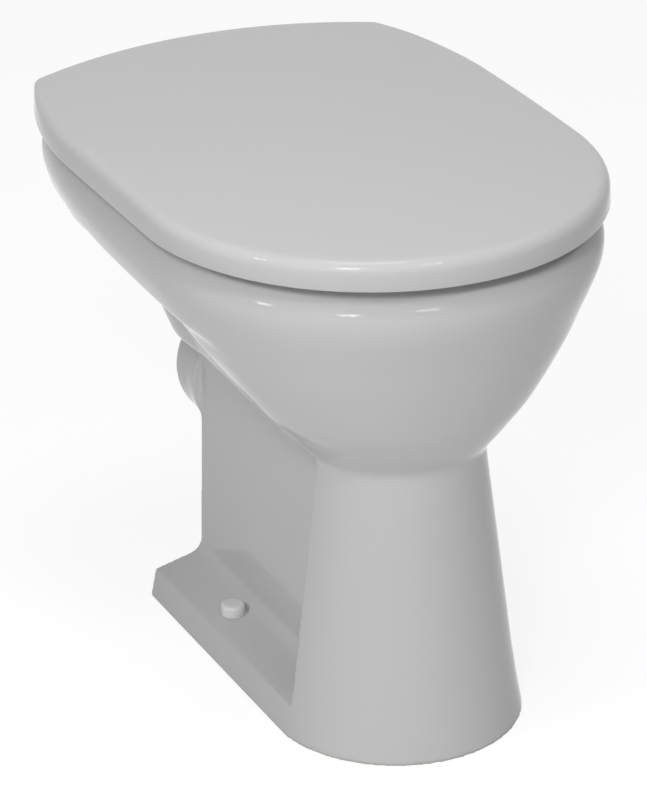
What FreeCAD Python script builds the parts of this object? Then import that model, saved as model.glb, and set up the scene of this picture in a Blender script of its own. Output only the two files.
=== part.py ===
import FreeCAD, Part
import math
import os
import Sketcher

# Floor-standing toilet with seat and lid.
# Millimetres, +Z up, front towards -Y, origin on the floor under the middle of the lid.

Vector = FreeCAD.Vector
Rotation = FreeCAD.Rotation
Placement = FreeCAD.Placement

X_AXIS = Vector(1, 0, 0)
Y_AXIS = Vector(0, 1, 0)
Z_AXIS = Vector(0, 0, 1)
SIDES = {"left": -1, "right": 1}
# Angles of the bands that round the lid's edge
EDGE_TURNS = (0, 30, 60, 90)

# Single sizes
SIZES = {
    # rim, deck and flushing channel
    "rim_height": 400.0,
    "deck_thickness": 14.0,
    "opening_half_width": 120.0,
    "opening_front": -190.0,
    "opening_rear": 66.0,
    "opening_rear_inset": 24.0,
    "opening_side_end": -60.0,
    "opening_rear_bow": 10.0,
    "opening_corner": 50.0,
    "lip_thickness": 11.0,
    "lip_depth": 46.0,
    # trap and outlet
    "trap_radius": 38.0,
    "trap_throat": -85.0,
    "trap_throat_drop": 150.0,
    "trap_bottom": 112.0,
    "trap_rise": -6.0,
    "trap_crown": 20.0,
    "trap_crown_drop": 160.0,
    "trap_crown_end": 82.0,
    "trap_fall": 112.0,
    "outlet_radius": 55.0,
    "outlet_height": 180.5,
    "outlet_root": 147.5,
    "outlet_root_radius": 58.0,
    "outlet_end": 169.0,
    "outlet_chamfer": 2.5,
    # flush inlet
    "inlet_radius": 27.5,
    "inlet_drop": 55.0,
    "inlet_depth": 120.0,
    # column, web and foot
    "column_centre": -117.0,
    "pedestal_rear": 125.5,
    "web_half_width": 54.0,
    "web_top_half_width": 50.5,
    "pedestal_wall": 12.0,
    "pedestal_hollow_drop": 195.0,
    "web_hollow_top": 62.0,
    "rear_hollow_front": 52.0,
    "rear_hollow_top": 124.0,
    "recess_front_top": -117.0,
    "recess_front_foot": -128.0,
    "recess_drop": 138.0,
    "recess_corner": 12.0,
    "ledge_outer_height": 24.0,
    "ledge_inner_height": 34.0,
    # seams between the parts of the casting
    "foot_seam_height": 46.0,
    "column_seam": -104.0,
    "bowl_seam_drop": 178.0,
    "rear_seam": 84.0,
    # floor fixings
    "foot_hole_radius": 6.5,
    "foot_hole_x": 72.5,
    "foot_hole_y": 22.5,
    "foot_seat_radius": 12.5,
    "foot_seat_height": 27.0,
    "cap_radius": 9.6,
    "cap_height": 9.5,
    "cap_wall": 1.6,
    "cap_edge_chamfer": 2.5,
    "cap_washer_hole_radius": 4.5,
    "cap_washer_thickness": 2.0,
    "cap_clearance": 0.1,
    # seat fixings
    "deck_hole_radius": 7.5,
    "deck_hole_x": 77.5,
    "deck_hole_y": 178.0,
    "deck_pocket_front": 120.0,
    "deck_pocket_inner": 42.0,
    "deck_pocket_wall": 13.0,
    "deck_pocket_drop": 124.0,
    # hinge
    "hinge_setback": 44.0,
    "hinge_rise": 13.0,
    "hinge_gap": 1.5,
    "knuckle_radius": 7.5,
    "bracket_width": 24.0,
    "bracket_length": 32.0,
    "bracket_thickness": 5.0,
    "bracket_pad_thickness": 1.5,
    "bracket_neck_step": 3.6,
    "bracket_neck_start": 8.0,
    "pin_radius": 4.0,
    "pin_fit": 0.02,
    "pin_running_clearance": 0.05,
    "pin_head_radius": 6.0,
    "pin_head_length": 2.0,
    "pin_reach": 1.5,
    "lug_radius": 8.5,
    "lug_width": 12.0,
    "bush_wall": 1.5,
    "bush_flange_radius": 7.0,
    "bush_flange": 1.0,
    # bolts, cones, washers and wing nuts
    "bolt_radius": 4.0,
    "bolt_clearance": 0.3,
    "bolt_head_radius": 7.2,
    "bolt_head_height": 5.3,
    "bolt_length": 54.0,
    "cone_top_radius": 5.2,
    "cone_bottom_radius": 11.0,
    "cone_entry": 5.0,
    "cone_drop": 8.0,
    "washer_radius": 11.0,
    "washer_thickness": 1.6,
    "nut_hub_radius": 7.5,
    "nut_top_radius": 6.0,
    "nut_height": 9.0,
    "wing_span": 34.0,
    "wing_thickness": 3.2,
    "wing_height": 13.0,
    "wing_corner": 3.0,
    # seat ring
    "seat_lift": 6.0,
    "seat_thickness": 13.5,
    "seat_gap": 3.5,
    "seat_side_end": 60.0,
    "seat_rear": 150.0,
    "seat_rear_inset": 14.0,
    "seat_rear_bow": 3.0,
    "seat_corner": 22.0,
    "seat_opening_half_width": 106.0,
    "seat_front_width": 59.5,
    "seat_opening_rear": 80.0,
    "seat_opening_side_end": -60.0,
    "seat_opening_rear_inset": 24.0,
    "seat_opening_rear_bow": 12.0,
    "seat_opening_corner": 42.0,
    "seat_edge_chamfer": 3.5,
    "arm_under_gap": 1.0,
    "arm_overlap": 15.0,
    # lid
    "lid_lift": 6.0,
    "lid_overhang": 4.8,
    "lid_front_overhang": 4.2,
    "lid_side_end": 80.0,
    "lid_rear_inset": 30.4,
    "lid_rear": 218.8,
    "lid_rear_bow": 28.5,
    "lid_corner": 12.0,
    "lid_draft": 0.7,
    "lid_wall": 4.5,
    "lid_rise": 30.0,
    "lid_plate": 5.0,
    "lid_edge_rise": 22.5,
    "lid_edge_radius": 8.0,
    "lid_depth": 17.5,
    "crown_radius_across": 2029.0,
    "crown_radius_along": 3817.0,
    "notch_margin": 4.0,
    # buffers
    "seat_buffer_length": 28.0,
    "seat_buffer_width": 14.0,
    "seat_buffer_corner": 4.0,
    "lid_buffer_radius": 7.0,
    "buffer_peg_radius": 3.0,
    "buffer_peg_length": 4.0,
    "peg_clearance": 0.1,
    # how far a cutting tool runs past the face that it cuts
    "overrun": 1.0,
}

STATION_KEYS = ("drop", "half", "front", "rear_half", "rear", "corner", "lean", "lead", "trail")

# Outside of the rim and bowl at chosen drops below the rim: half width and tip of the round front,
# half width, place and corner radius of the rear end, lean of the sides where they meet it,
# and how far the sides hold each end's direction
HULL = [
    (12.0, 175.2, -243.3, 154.5, 204.0, 16.0, 16.0, 0.40, 0.26),
    (32.0, 173.2, -242.2, 153.3, 204.0, 17.5, 14.0, 0.36, 0.29),
    (55.0, 164.5, -237.0, 148.5, 203.5, 19.0, 10.0, 0.30, 0.34),
    (85.0, 149.0, -228.0, 133.0, 202.0, 22.0, 0.0, 0.05, 0.70),
    (110.0, 131.0, -219.0, 107.0, 196.0, 26.0, 2.0, 0.10, 0.62),
    (132.0, 112.5, -210.0, 76.0, 178.0, 30.0, 0.0, 0.10, 0.62),
    (154.0, 89.5, -197.0, 52.0, 138.0, 32.0, 0.0, 0.10, 0.55),
    (186.0, 56.0, -175.0, 44.0, 100.0, 30.0, 0.0, 0.20, 0.40),
]

# Rounding of the rim above the first outline of the hull
RIM = [
    (5.5, 174.0, -242.1, 153.3, 202.8, 15.0, 16.0, 0.40, 0.26),
    (1.7, 171.2, -239.3, 150.5, 200.0, 13.0, 16.0, 0.40, 0.26),
    (0.0, 166.5, -234.6, 145.8, 195.3, 10.0, 16.0, 0.40, 0.26),
]

# Inside of the bowl, from under the deck down to its floor
BOWL = [
    (14.0, 160.0, -228.0, 134.0, 92.0, 80.0, 12.0, 0.30, 0.30),
    (85.0, 133.0, -212.0, 108.0, 66.0, 70.0, 12.0, 0.30, 0.30),
    (144.0, 80.0, -180.0, 66.0, 0.0, 46.0, 12.0, 0.30, 0.30),
    (168.0, 48.0, -148.0, 43.0, -36.0, 34.0, 12.0, 0.30, 0.30),
]

# Bulge round the trap, which stands out below the rear of the bowl
BULGE = [
    (110.0, 88.0, -60.0, 86.0, 142.0, 34.0, 2.0, 0.30, 0.30),
    (136.0, 88.0, -70.0, 86.0, 147.0, 36.0, 2.0, 0.30, 0.30),
    (168.0, 75.0, -84.0, 73.0, 145.0, 36.0, 2.0, 0.30, 0.30),
    (194.0, 52.0, -95.0, 50.0, 133.0, 26.0, 2.0, 0.30, 0.30),
]

PEDESTAL_KEYS = ("height", "half")

# Half width of the column and foot at chosen heights
PEDESTAL = [
    (0.0, 99.2),
    (22.0, 95.0),
    (52.0, 90.2),
    (135.0, 79.3),
]

NECK_KEYS = ("drop", "half")

# Half width of the column's upper end at chosen drops below the rim
NECK = [
    (186.0, 68.8),
    (160.0, 67.0),
]

# Inset from the side, place along the pan and turn of the buffers
SEAT_BUFFERS = {"front": (71.2, -167.0, 45.0), "rear": (35.2, 62.0, 90.0)}
LID_BUFFERS = {"front": (100.0, -178.0), "rear": (42.0, 40.0)}

# Where the bracket's neck meets its knuckle, as shares of the knuckle's radius
NECK_UNDER = 0.45
NECK_BEHIND = 0.55
NECK_OVER = 0.75

doc = FreeCAD.newDocument("toilet")
sheet = doc.addObject("Spreadsheet::Sheet", "Sizes")
finished_parts = []


class Size:
    """A size that is a number here and an expression in the document."""

    def __init__(self, value, text):
        self.value = value
        self.text = text

    def join(self, other, sign, value):
        return Size(value, f"({self.text} {sign} {text_of(other)})")

    def __add__(self, other):
        return self.join(other, "+", self.value + number(other))

    def __sub__(self, other):
        return self.join(other, "-", self.value - number(other))

    def __mul__(self, other):
        return self.join(other, "*", self.value * number(other))

    def __truediv__(self, other):
        return self.join(other, "/", self.value / number(other))


def number(value):
    """The plain number of a size."""
    return value.value if isinstance(value, Size) else float(value)


def text_of(value):
    """The expression of a size."""
    return value.text if isinstance(value, Size) else str(value)


def fill_sheet():
    """Write every driving dimension into its own named cell."""
    cells = dict(SIZES)
    tables = {
        "hull": (STATION_KEYS, HULL),
        "rim": (STATION_KEYS, RIM),
        "bowl": (STATION_KEYS, BOWL),
        "bulge": (STATION_KEYS, BULGE),
        "pedestal": (PEDESTAL_KEYS, PEDESTAL),
        "neck": (NECK_KEYS, NECK),
    }
    for table, (keys, stations) in tables.items():
        for index, station in enumerate(stations, start=1):
            for key, value in zip(keys, station):
                cells[f"{table}_{key}_at_{index}_"] = value
    for place, values in SEAT_BUFFERS.items():
        for key, value in zip(("inset", "y", "turn"), values):
            cells[f"seat_buffer_{place}_{key}"] = value
    for place, values in LID_BUFFERS.items():
        for key, value in zip(("inset", "y"), values):
            cells[f"lid_buffer_{place}_{key}"] = value
    for row, (alias, value) in enumerate(cells.items(), start=1):
        sheet.set(f"A{row}", alias.replace("_", " "))
        sheet.set(f"B{row}", str(value))
        sheet.setAlias(f"B{row}", alias)
    doc.recompute()


def size(alias):
    """The size in the named cell."""
    return Size(float(sheet.get(alias)), f"Sizes.{alias}")


def above_rim(alias):
    """Height of something that stands above the rim."""
    return size("rim_height") + size(alias)


def below_rim(alias):
    """Height of something that lies below the rim."""
    return size("rim_height") - size(alias)


def seat_bottom():
    """Height of the seat ring's underside."""
    return above_rim("seat_lift")


def seat_top():
    """Height of the seat ring's top face."""
    return seat_bottom() + size("seat_thickness")


def lid_bottom():
    """Height of the foot of the lid's skirt."""
    return above_rim("lid_lift")


def lid_top():
    """Height of the middle of the lid's crown."""
    return lid_bottom() + size("lid_rise")


def lid_ceiling():
    """Height of the lid's flat underside."""
    return lid_bottom() + size("lid_depth")


def hinge_y():
    """Place of the hinge axis along the pan."""
    return size("deck_hole_y") + size("hinge_setback")


def hinge_z():
    """Height of the hinge axis."""
    return above_rim("hinge_rise")


def lid_half():
    """Half width of the lid, which covers the rim."""
    return size("hull_half_at_1_") + size("lid_overhang")


def lid_front():
    """Front tip of the lid."""
    return size("hull_front_at_1_") - size("lid_front_overhang")


def seat_half():
    """Half width of the seat ring, which fits inside the lid's skirt."""
    return lid_half() - size("lid_wall") - size("seat_gap")


def seat_front():
    """Front tip of the seat ring."""
    return lid_front() + size("lid_wall") + size("seat_gap")


def settle(obj):
    """Recompute and give the object back."""
    doc.recompute()
    return obj


def bind(obj, **sizes):
    """Tie properties of an object to sizes."""
    for name, value in sizes.items():
        obj.setExpression(name, text_of(value))
    return obj


def place(obj, base):
    """Tie an object's position to three sizes."""
    for letter, value in zip("xyz", base):
        obj.setExpression(f"Placement.Base.{letter}", text_of(value))
    return settle(obj)


def cylinder(name, radius, height, base, axis=Z_AXIS):
    """A cylinder from its base point along an axis."""
    obj = bind(doc.addObject("Part::Cylinder", name), Radius=radius, Height=height)
    obj.Placement = Placement(Vector(), Rotation(Z_AXIS, axis))
    return place(obj, base)


def cone(name, low_radius, high_radius, height, base, axis=Z_AXIS):
    """A cone from its base point along an axis."""
    obj = bind(doc.addObject("Part::Cone", name), Radius1=low_radius, Radius2=high_radius, Height=height)
    obj.Placement = Placement(Vector(), Rotation(Z_AXIS, axis))
    return place(obj, base)


def box(name, low, high):
    """A box between two corners."""
    spans = [Size(number(b), text_of(b)) - a for a, b in zip(low, high)]
    obj = bind(doc.addObject("Part::Box", name), Length=spans[0], Width=spans[1], Height=spans[2])
    return place(obj, low)


def cut(name, base, tool):
    """The base less the tool."""
    obj = doc.addObject("Part::Cut", name)
    obj.Base = base
    obj.Tool = tool
    return settle(obj)


def fuse(name, shapes):
    """Several shapes in one."""
    obj = doc.addObject("Part::MultiFuse", name)
    obj.Shapes = shapes
    return settle(obj)


def common(name, shapes):
    """What several shapes share."""
    obj = doc.addObject("Part::MultiCommon", name)
    obj.Shapes = shapes
    return settle(obj)


def loft(name, sections, ruled=False):
    """A solid through closed outlines."""
    obj = doc.addObject("Part::Loft", name)
    obj.Sections = sections
    obj.Solid = True
    obj.Ruled = ruled
    return settle(obj)


def extrude(name, base, direction, length):
    """A closed outline pushed along a direction."""
    obj = bind(doc.addObject("Part::Extrusion", name), LengthFwd=length)
    obj.Base = base
    obj.DirMode = "Custom"
    obj.Dir = direction
    obj.Solid = True
    return settle(obj)


def edge_feature(kind, name, base, amount, wanted):
    """Round or chamfer the base's edges for which wanted(edge) is true."""
    numbered = enumerate(base.Shape.Edges, start=1)
    obj = doc.addObject(kind, name)
    obj.Base = base
    obj.Edges = [(index, number(amount), number(amount)) for index, edge in numbered if wanted(edge)]
    return settle(obj)


def fillet(name, base, radius, wanted):
    """Round the wanted edges."""
    return edge_feature("Part::Fillet", name, base, radius, wanted)


def chamfer(name, base, amount, wanted):
    """Chamfer the wanted edges."""
    return edge_feature("Part::Chamfer", name, base, amount, wanted)


def finished(obj, label):
    """Give a sub-part its label and list it for writing."""
    obj.Label = label
    finished_parts.append(obj)
    return obj


def at_height(height):
    """A test for edges that lie at one height."""
    level = number(height)

    def wanted(edge):
        return abs(edge.BoundBox.ZMin - level) < 0.01 and abs(edge.BoundBox.ZMax - level) < 0.01

    return wanted


def tie(sketch, kind, geometry, point, value):
    """Add a dimension whose value follows a size."""
    where = (geometry,) if point is None else (geometry, point)
    index = sketch.addConstraint(Sketcher.Constraint(kind, *where, number(value)))
    sketch.setExpression(f"Constraints[{index}]", text_of(value))


def draw_polygon(sketch, points):
    """Draw a closed polygon in a sketch, each corner tied to its two sizes."""
    corners = [Vector(number(a), number(b), 0) for a, b in points]
    count = len(corners)
    for index, corner in enumerate(corners):
        sketch.addGeometry(Part.LineSegment(corner, corners[(index + 1) % count]))
    for index, point in enumerate(points):
        sketch.addConstraint(Sketcher.Constraint("Coincident", index, 2, (index + 1) % count, 1))
        tie(sketch, "DistanceX", index, 1, point[0])
        tie(sketch, "DistanceY", index, 1, point[1])


# A sketch turned this way has its x along Y and its y along Z
SIDE_VIEW = Rotation(Y_AXIS, Z_AXIS, X_AXIS, "ZXY")
# A sketch turned this way has its x along X and its y along Z
FRONT_VIEW = Rotation(X_AXIS, Z_AXIS, Y_AXIS * -1, "ZXY")


def polygon(name, points, rotation, base):
    """A polygon sketch set up in space."""
    sketch = doc.addObject("Sketcher::SketchObject", name)
    sketch.Placement = Placement(Vector(), rotation)
    draw_polygon(sketch, points)
    return place(sketch, base)


def round_front_outline(name, half, height, rear):
    """Outline of the column or foot at one height: half circle in front, straight sides and rear."""
    sketch = doc.addObject("Sketcher::SketchObject", name)
    centre = size("column_centre")
    radius, middle, back = number(half), number(centre), number(rear)
    front = Part.Circle(Vector(0, middle, 0), Z_AXIS, radius)
    corners = [(radius, middle), (radius, back), (-radius, back), (-radius, middle)]
    corners = [Vector(x, y, 0) for x, y in corners]
    sketch.addGeometry(Part.ArcOfCircle(front, math.pi, 2 * math.pi))
    for start, end in zip(corners, corners[1:]):
        sketch.addGeometry(Part.LineSegment(start, end))
    sketch.addConstraint(Sketcher.Constraint("Tangent", 0, 2, 1, 1))
    sketch.addConstraint(Sketcher.Constraint("Coincident", 1, 2, 2, 1))
    sketch.addConstraint(Sketcher.Constraint("Coincident", 2, 2, 3, 1))
    sketch.addConstraint(Sketcher.Constraint("Tangent", 3, 2, 0, 1))
    sketch.addConstraint(Sketcher.Constraint("Vertical", 1))
    sketch.addConstraint(Sketcher.Constraint("Vertical", 3))
    sketch.addConstraint(Sketcher.Constraint("Horizontal", 2))
    sketch.addConstraint(Sketcher.Constraint("PointOnObject", 0, 3, -2))
    tie(sketch, "DistanceY", 0, 3, centre)
    tie(sketch, "Radius", 0, None, half)
    tie(sketch, "DistanceY", 1, 2, rear)
    return place(sketch, (0, 0, height))


def meeting_point(first, first_radius, second, second_radius):
    """Where two circles cross, on the right-hand and rear side."""
    gap = second - first
    along = (first_radius**2 - second_radius**2 + gap.Length**2) / (2 * gap.Length)
    aside = math.sqrt(first_radius**2 - along**2)
    line = Vector(gap).normalize()
    foot = first + line * along
    choices = [foot + Vector(-line.y, line.x, 0) * aside * turn for turn in (1, -1)]
    return max(choices, key=lambda point: point.x + point.y)


def direction_of(vector):
    """Angle of a flat vector."""
    return math.atan2(vector.y, vector.x)


def d_outline(name, height, half, front, side_end, rear_half, rear, bow, corner):
    """Outline of the lid, seat or opening: half circle in front, sides that close in, bowed rear."""
    inset = half - rear_half
    length = rear - side_end
    side_radius = (inset * inset + length * length) / (inset * 2)
    rear_radius = (rear_half * rear_half + bow * bow) / (bow * 2)
    front_centre = front + half
    rear_centre = rear + bow - rear_radius

    side_middle = Vector(number(half - side_radius), number(side_end), 0)
    rear_middle = Vector(0, number(rear_centre), 0)
    big, wide, small = number(side_radius), number(rear_radius), number(corner)
    corner_middle = meeting_point(side_middle, big - small, rear_middle, wide - small)
    side_turn = direction_of(corner_middle - side_middle)
    rear_turn = direction_of(corner_middle - rear_middle)
    width, tip_middle, straight_end = number(half), number(front_centre), number(side_end)

    def arc(middle, radius, start, end):
        return Part.ArcOfCircle(Part.Circle(middle, Z_AXIS, radius), start, end)

    def mirrored(point):
        return Vector(-point.x, point.y, 0)

    sketch = doc.addObject("Sketcher::SketchObject", name)
    sketch.addGeometry(arc(Vector(0, tip_middle, 0), width, math.pi, 2 * math.pi))
    sketch.addGeometry(Part.LineSegment(Vector(width, tip_middle, 0), Vector(width, straight_end, 0)))
    sketch.addGeometry(arc(side_middle, big, 0, side_turn))
    sketch.addGeometry(arc(corner_middle, small, side_turn, rear_turn))
    sketch.addGeometry(arc(rear_middle, wide, rear_turn, math.pi - rear_turn))
    sketch.addGeometry(arc(mirrored(corner_middle), small, math.pi - rear_turn, math.pi - side_turn))
    sketch.addGeometry(arc(mirrored(side_middle), big, math.pi - side_turn, math.pi))
    sketch.addGeometry(Part.LineSegment(Vector(-width, straight_end, 0), Vector(-width, tip_middle, 0)))
    for index in range(8):
        sketch.addConstraint(Sketcher.Constraint("Tangent", index, 2, (index + 1) % 8, 1))
    sketch.addConstraint(Sketcher.Constraint("Vertical", 1))
    sketch.addConstraint(Sketcher.Constraint("Vertical", 7))
    sketch.addConstraint(Sketcher.Constraint("PointOnObject", 0, 3, -2))
    sketch.addConstraint(Sketcher.Constraint("PointOnObject", 4, 3, -2))
    sketch.addConstraint(Sketcher.Constraint("Equal", 2, 6))
    sketch.addConstraint(Sketcher.Constraint("Equal", 3, 5))
    sketch.addConstraint(Sketcher.Constraint("Horizontal", 1, 2, 7, 1))
    tie(sketch, "Radius", 0, None, half)
    tie(sketch, "DistanceY", 0, 3, front_centre)
    tie(sketch, "DistanceY", 1, 2, side_end)
    tie(sketch, "Radius", 2, None, side_radius)
    tie(sketch, "Radius", 3, None, corner)
    tie(sketch, "Radius", 4, None, rear_radius)
    tie(sketch, "DistanceY", 4, 3, rear_centre)
    return place(sketch, (0, 0, height))


def family_half(family):
    """Half width of a named outline."""
    fitted = {"lid": lid_half, "seat": seat_half}
    return fitted[family]() if family in fitted else size(f"{family}_half_width")


def family_front(family):
    """Front tip of a named outline."""
    if family == "seat_opening":
        return seat_front() + size("seat_front_width")
    fitted = {"lid": lid_front, "seat": seat_front}
    return fitted[family]() if family in fitted else size(f"{family}_front")


def named_outline(name, family, height, margin=0):
    """The D outline of a family of sizes, grown by a margin all round."""
    half = family_half(family)
    front = family_front(family)
    side_end, rear_inset, rear, bow, corner = (
        size(f"{family}_{key}") for key in ("side_end", "rear_inset", "rear", "rear_bow", "corner")
    )
    return d_outline(
        name,
        height,
        half + margin,
        front - margin,
        side_end,
        half - rear_inset + margin,
        rear + margin,
        bow,
        corner,
    )


def swept_outline(table, index):
    """Free-form outline at one station: round front, swept sides, straight rear with round corners."""
    drop, half, front, rear_half, rear, corner, lean, lead, trail = (
        number(size(f"{table}_{key}_at_{index}_")) for key in STATION_KEYS
    )
    height = number(size("rim_height")) - drop
    slope = math.radians(lean)
    bend = math.radians(45 + lean / 2)
    corner_middle = Vector(rear_half - corner, rear - corner, height)
    start = Vector(half, front + half, height)
    end = corner_middle + Vector(math.cos(slope), math.sin(slope), 0) * corner
    run = end.y - start.y
    leave = start + Vector(0, lead * run, 0)
    arrive = end + Vector(math.sin(slope), -math.cos(slope), 0) * (trail * run)
    round_middle = corner_middle + Vector(math.cos(bend), math.sin(bend), 0) * corner
    rear_point = corner_middle + Vector(0, corner, 0)

    def mirrored(point):
        return Vector(-point.x, point.y, point.z)

    right = Part.BezierCurve()
    right.setPoles([start, leave, arrive, end])
    left = Part.BezierCurve()
    left.setPoles([mirrored(point) for point in (end, arrive, leave, start)])
    curves = [
        Part.Arc(mirrored(start), Vector(0, front, height), start),
        right,
        Part.Arc(end, round_middle, rear_point),
        Part.LineSegment(rear_point, mirrored(rear_point)),
        Part.Arc(mirrored(rear_point), mirrored(round_middle), mirrored(end)),
        left,
    ]
    outline = doc.addObject("Part::Feature", f"{table}_outline_{index}")
    outline.Shape = Part.Wire([curve.toShape() for curve in curves])
    return outline


def station_outlines(table, stations):
    """The outlines of one table, from its first station to its last."""
    return [swept_outline(table, index) for index in range(1, len(stations) + 1)]


def opening_prism(name, margin, low, high):
    """Prism of the bowl's opening, grown by a margin, between two heights."""
    return extrude(name, named_outline(f"{name}_outline", "opening", low, margin), Z_AXIS, high - low)


def trap_bore():
    """Waterway of the trap: down from the bowl, up over the weir and out at the rear."""
    crown_height = below_rim("trap_crown_drop")
    corners = [
        ("trap_throat", below_rim("trap_throat_drop")),
        ("trap_throat", size("trap_bottom")),
        ("trap_rise", size("trap_bottom")),
        ("trap_crown", crown_height),
        ("trap_crown_end", crown_height),
        ("trap_fall", size("outlet_height")),
        ("outlet_end", size("outlet_height")),
    ]
    points = [Vector(0, number(size(y)), number(height)) for y, height in corners]
    overrun = number(size("trap_radius")) / 2
    legs = []
    for index, (start, end) in enumerate(zip(points, points[1:]), start=1):
        along = (end - start).normalize()
        leg = bind(doc.addObject("Part::Cylinder", f"trap_leg_{index}"), Radius=size("trap_radius"))
        leg.Height = (end - start).Length + overrun * 2
        leg.Placement = Placement(start - along * overrun, Rotation(Z_AXIS, along))
        legs.append(settle(leg))
    return fuse("trap_bore", legs)


def foot_recess(side, sign):
    """Room beside the web, above the foot's sloping ledge and behind the column."""
    web = size("web_half_width")
    top = below_rim("recess_drop")
    past = size("pedestal_half_at_1_") + web
    rear = size("pedestal_rear")
    fall = (size("ledge_inner_height") - size("ledge_outer_height")) / (size("pedestal_half_at_2_") - web)
    front_points = [
        (size("web_top_half_width") * sign, top),
        (web * sign, size("ledge_inner_height")),
        (past * sign, size("ledge_inner_height") - fall * (past - web)),
        (past * sign, top),
    ]
    front = polygon(f"recess_front_view_{side}", front_points, FRONT_VIEW, (0, rear * 2, 0))
    along = extrude(f"recess_run_{side}", front, Y_AXIS * -1, rear * 4)
    side_points = [
        (size("recess_front_top"), top),
        (size("recess_front_foot"), 0),
        (rear * 2, 0),
        (rear * 2, top),
    ]
    profile = polygon(f"recess_side_view_{side}", side_points, SIDE_VIEW, (past * -1, 0, 0))
    across = extrude(f"recess_width_{side}", profile, X_AXIS, past * 2)
    block = common(f"recess_block_{side}", [along, across])
    inner_limit = number(web) + 0.01

    def inner_edge(edge):
        span = edge.BoundBox
        near_web = max(abs(span.XMin), abs(span.XMax)) < inner_limit
        return near_web and span.ZMin < number(top - size("overrun")) and span.YMin < number(rear)

    return fillet(f"recess_{side}", block, size("recess_corner"), inner_edge)


def make_pedestal():
    """Column, web and foot, open underneath."""
    rear = size("pedestal_rear")
    wall = size("pedestal_wall")
    web = size("web_half_width")
    below = wall * -1
    past = size("pedestal_half_at_1_") + web
    hollow_top = below_rim("pedestal_hollow_drop")
    outlines = []
    for index in range(1, len(PEDESTAL) + 1):
        half, height = size(f"pedestal_half_at_{index}_"), size(f"pedestal_height_at_{index}_")
        outlines.append(round_front_outline(f"pedestal_outline_{index}", half, height, rear))
    for index in range(1, len(NECK) + 1):
        half, height = size(f"neck_half_at_{index}_"), below_rim(f"neck_drop_at_{index}_")
        outlines.append(round_front_outline(f"neck_outline_{index}", half, height, rear))
    outer = loft("pedestal_loft", outlines, ruled=True)
    recesses = [foot_recess(side, sign) for side, sign in SIDES.items()]
    outside = cut("pedestal_outside", outer, fuse("recesses", recesses))

    inner_outlines = [
        round_front_outline("column_inside_low", size("pedestal_half_at_1_") - wall, below, rear - wall),
        round_front_outline(
            "column_inside_high",
            size("neck_half_at_1_") - wall,
            hollow_top,
            rear - wall,
        ),
    ]
    column_room = box(
        "column_room",
        (past * -1, size("column_centre") * 2, below),
        (past, size("recess_front_foot") - wall, hollow_top),
    )
    column_hollow = common("column_hollow", [loft("column_inside", inner_outlines, True), column_room])
    web_hollow = box(
        "web_hollow",
        (wall - web, size("column_centre") - wall * 2, below),
        (web - wall, rear - wall, size("web_hollow_top")),
    )
    rear_hollow = box(
        "rear_hollow",
        (wall - web, size("rear_hollow_front"), below),
        (web - wall, rear - wall, size("rear_hollow_top")),
    )
    return cut("pedestal", outside, fuse("pedestal_hollow", [column_hollow, web_hollow, rear_hollow]))


def deck_pockets(deck_under):
    """Pockets under the deck, open to the rear, that give room for the seat's nuts."""
    wall = size("deck_pocket_wall")
    floor = below_rim("deck_pocket_drop")
    mouth = size("hull_rear_at_1_") + wall
    pockets = []
    for side, sign in SIDES.items():
        points = [
            (size("deck_pocket_inner") * sign, deck_under),
            ((size("hull_rear_half_at_2_") - wall) * sign, deck_under),
            ((size("hull_rear_half_at_3_") - wall) * sign, below_rim("hull_drop_at_3_")),
            ((size("hull_rear_half_at_4_") - wall) * sign, below_rim("hull_drop_at_4_")),
            ((size("hull_rear_half_at_5_") - wall) * sign, below_rim("hull_drop_at_5_") + wall / 2),
            ((size("hull_rear_half_at_6_") - wall) * sign, floor),
            (size("deck_pocket_inner") * sign, floor),
        ]
        outline = polygon(f"pocket_outline_{side}", points, FRONT_VIEW, (0, mouth, 0))
        pockets.append(
            extrude(f"deck_pocket_{side}", outline, Y_AXIS * -1, mouth - size("deck_pocket_front"))
        )
    return pockets


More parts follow.
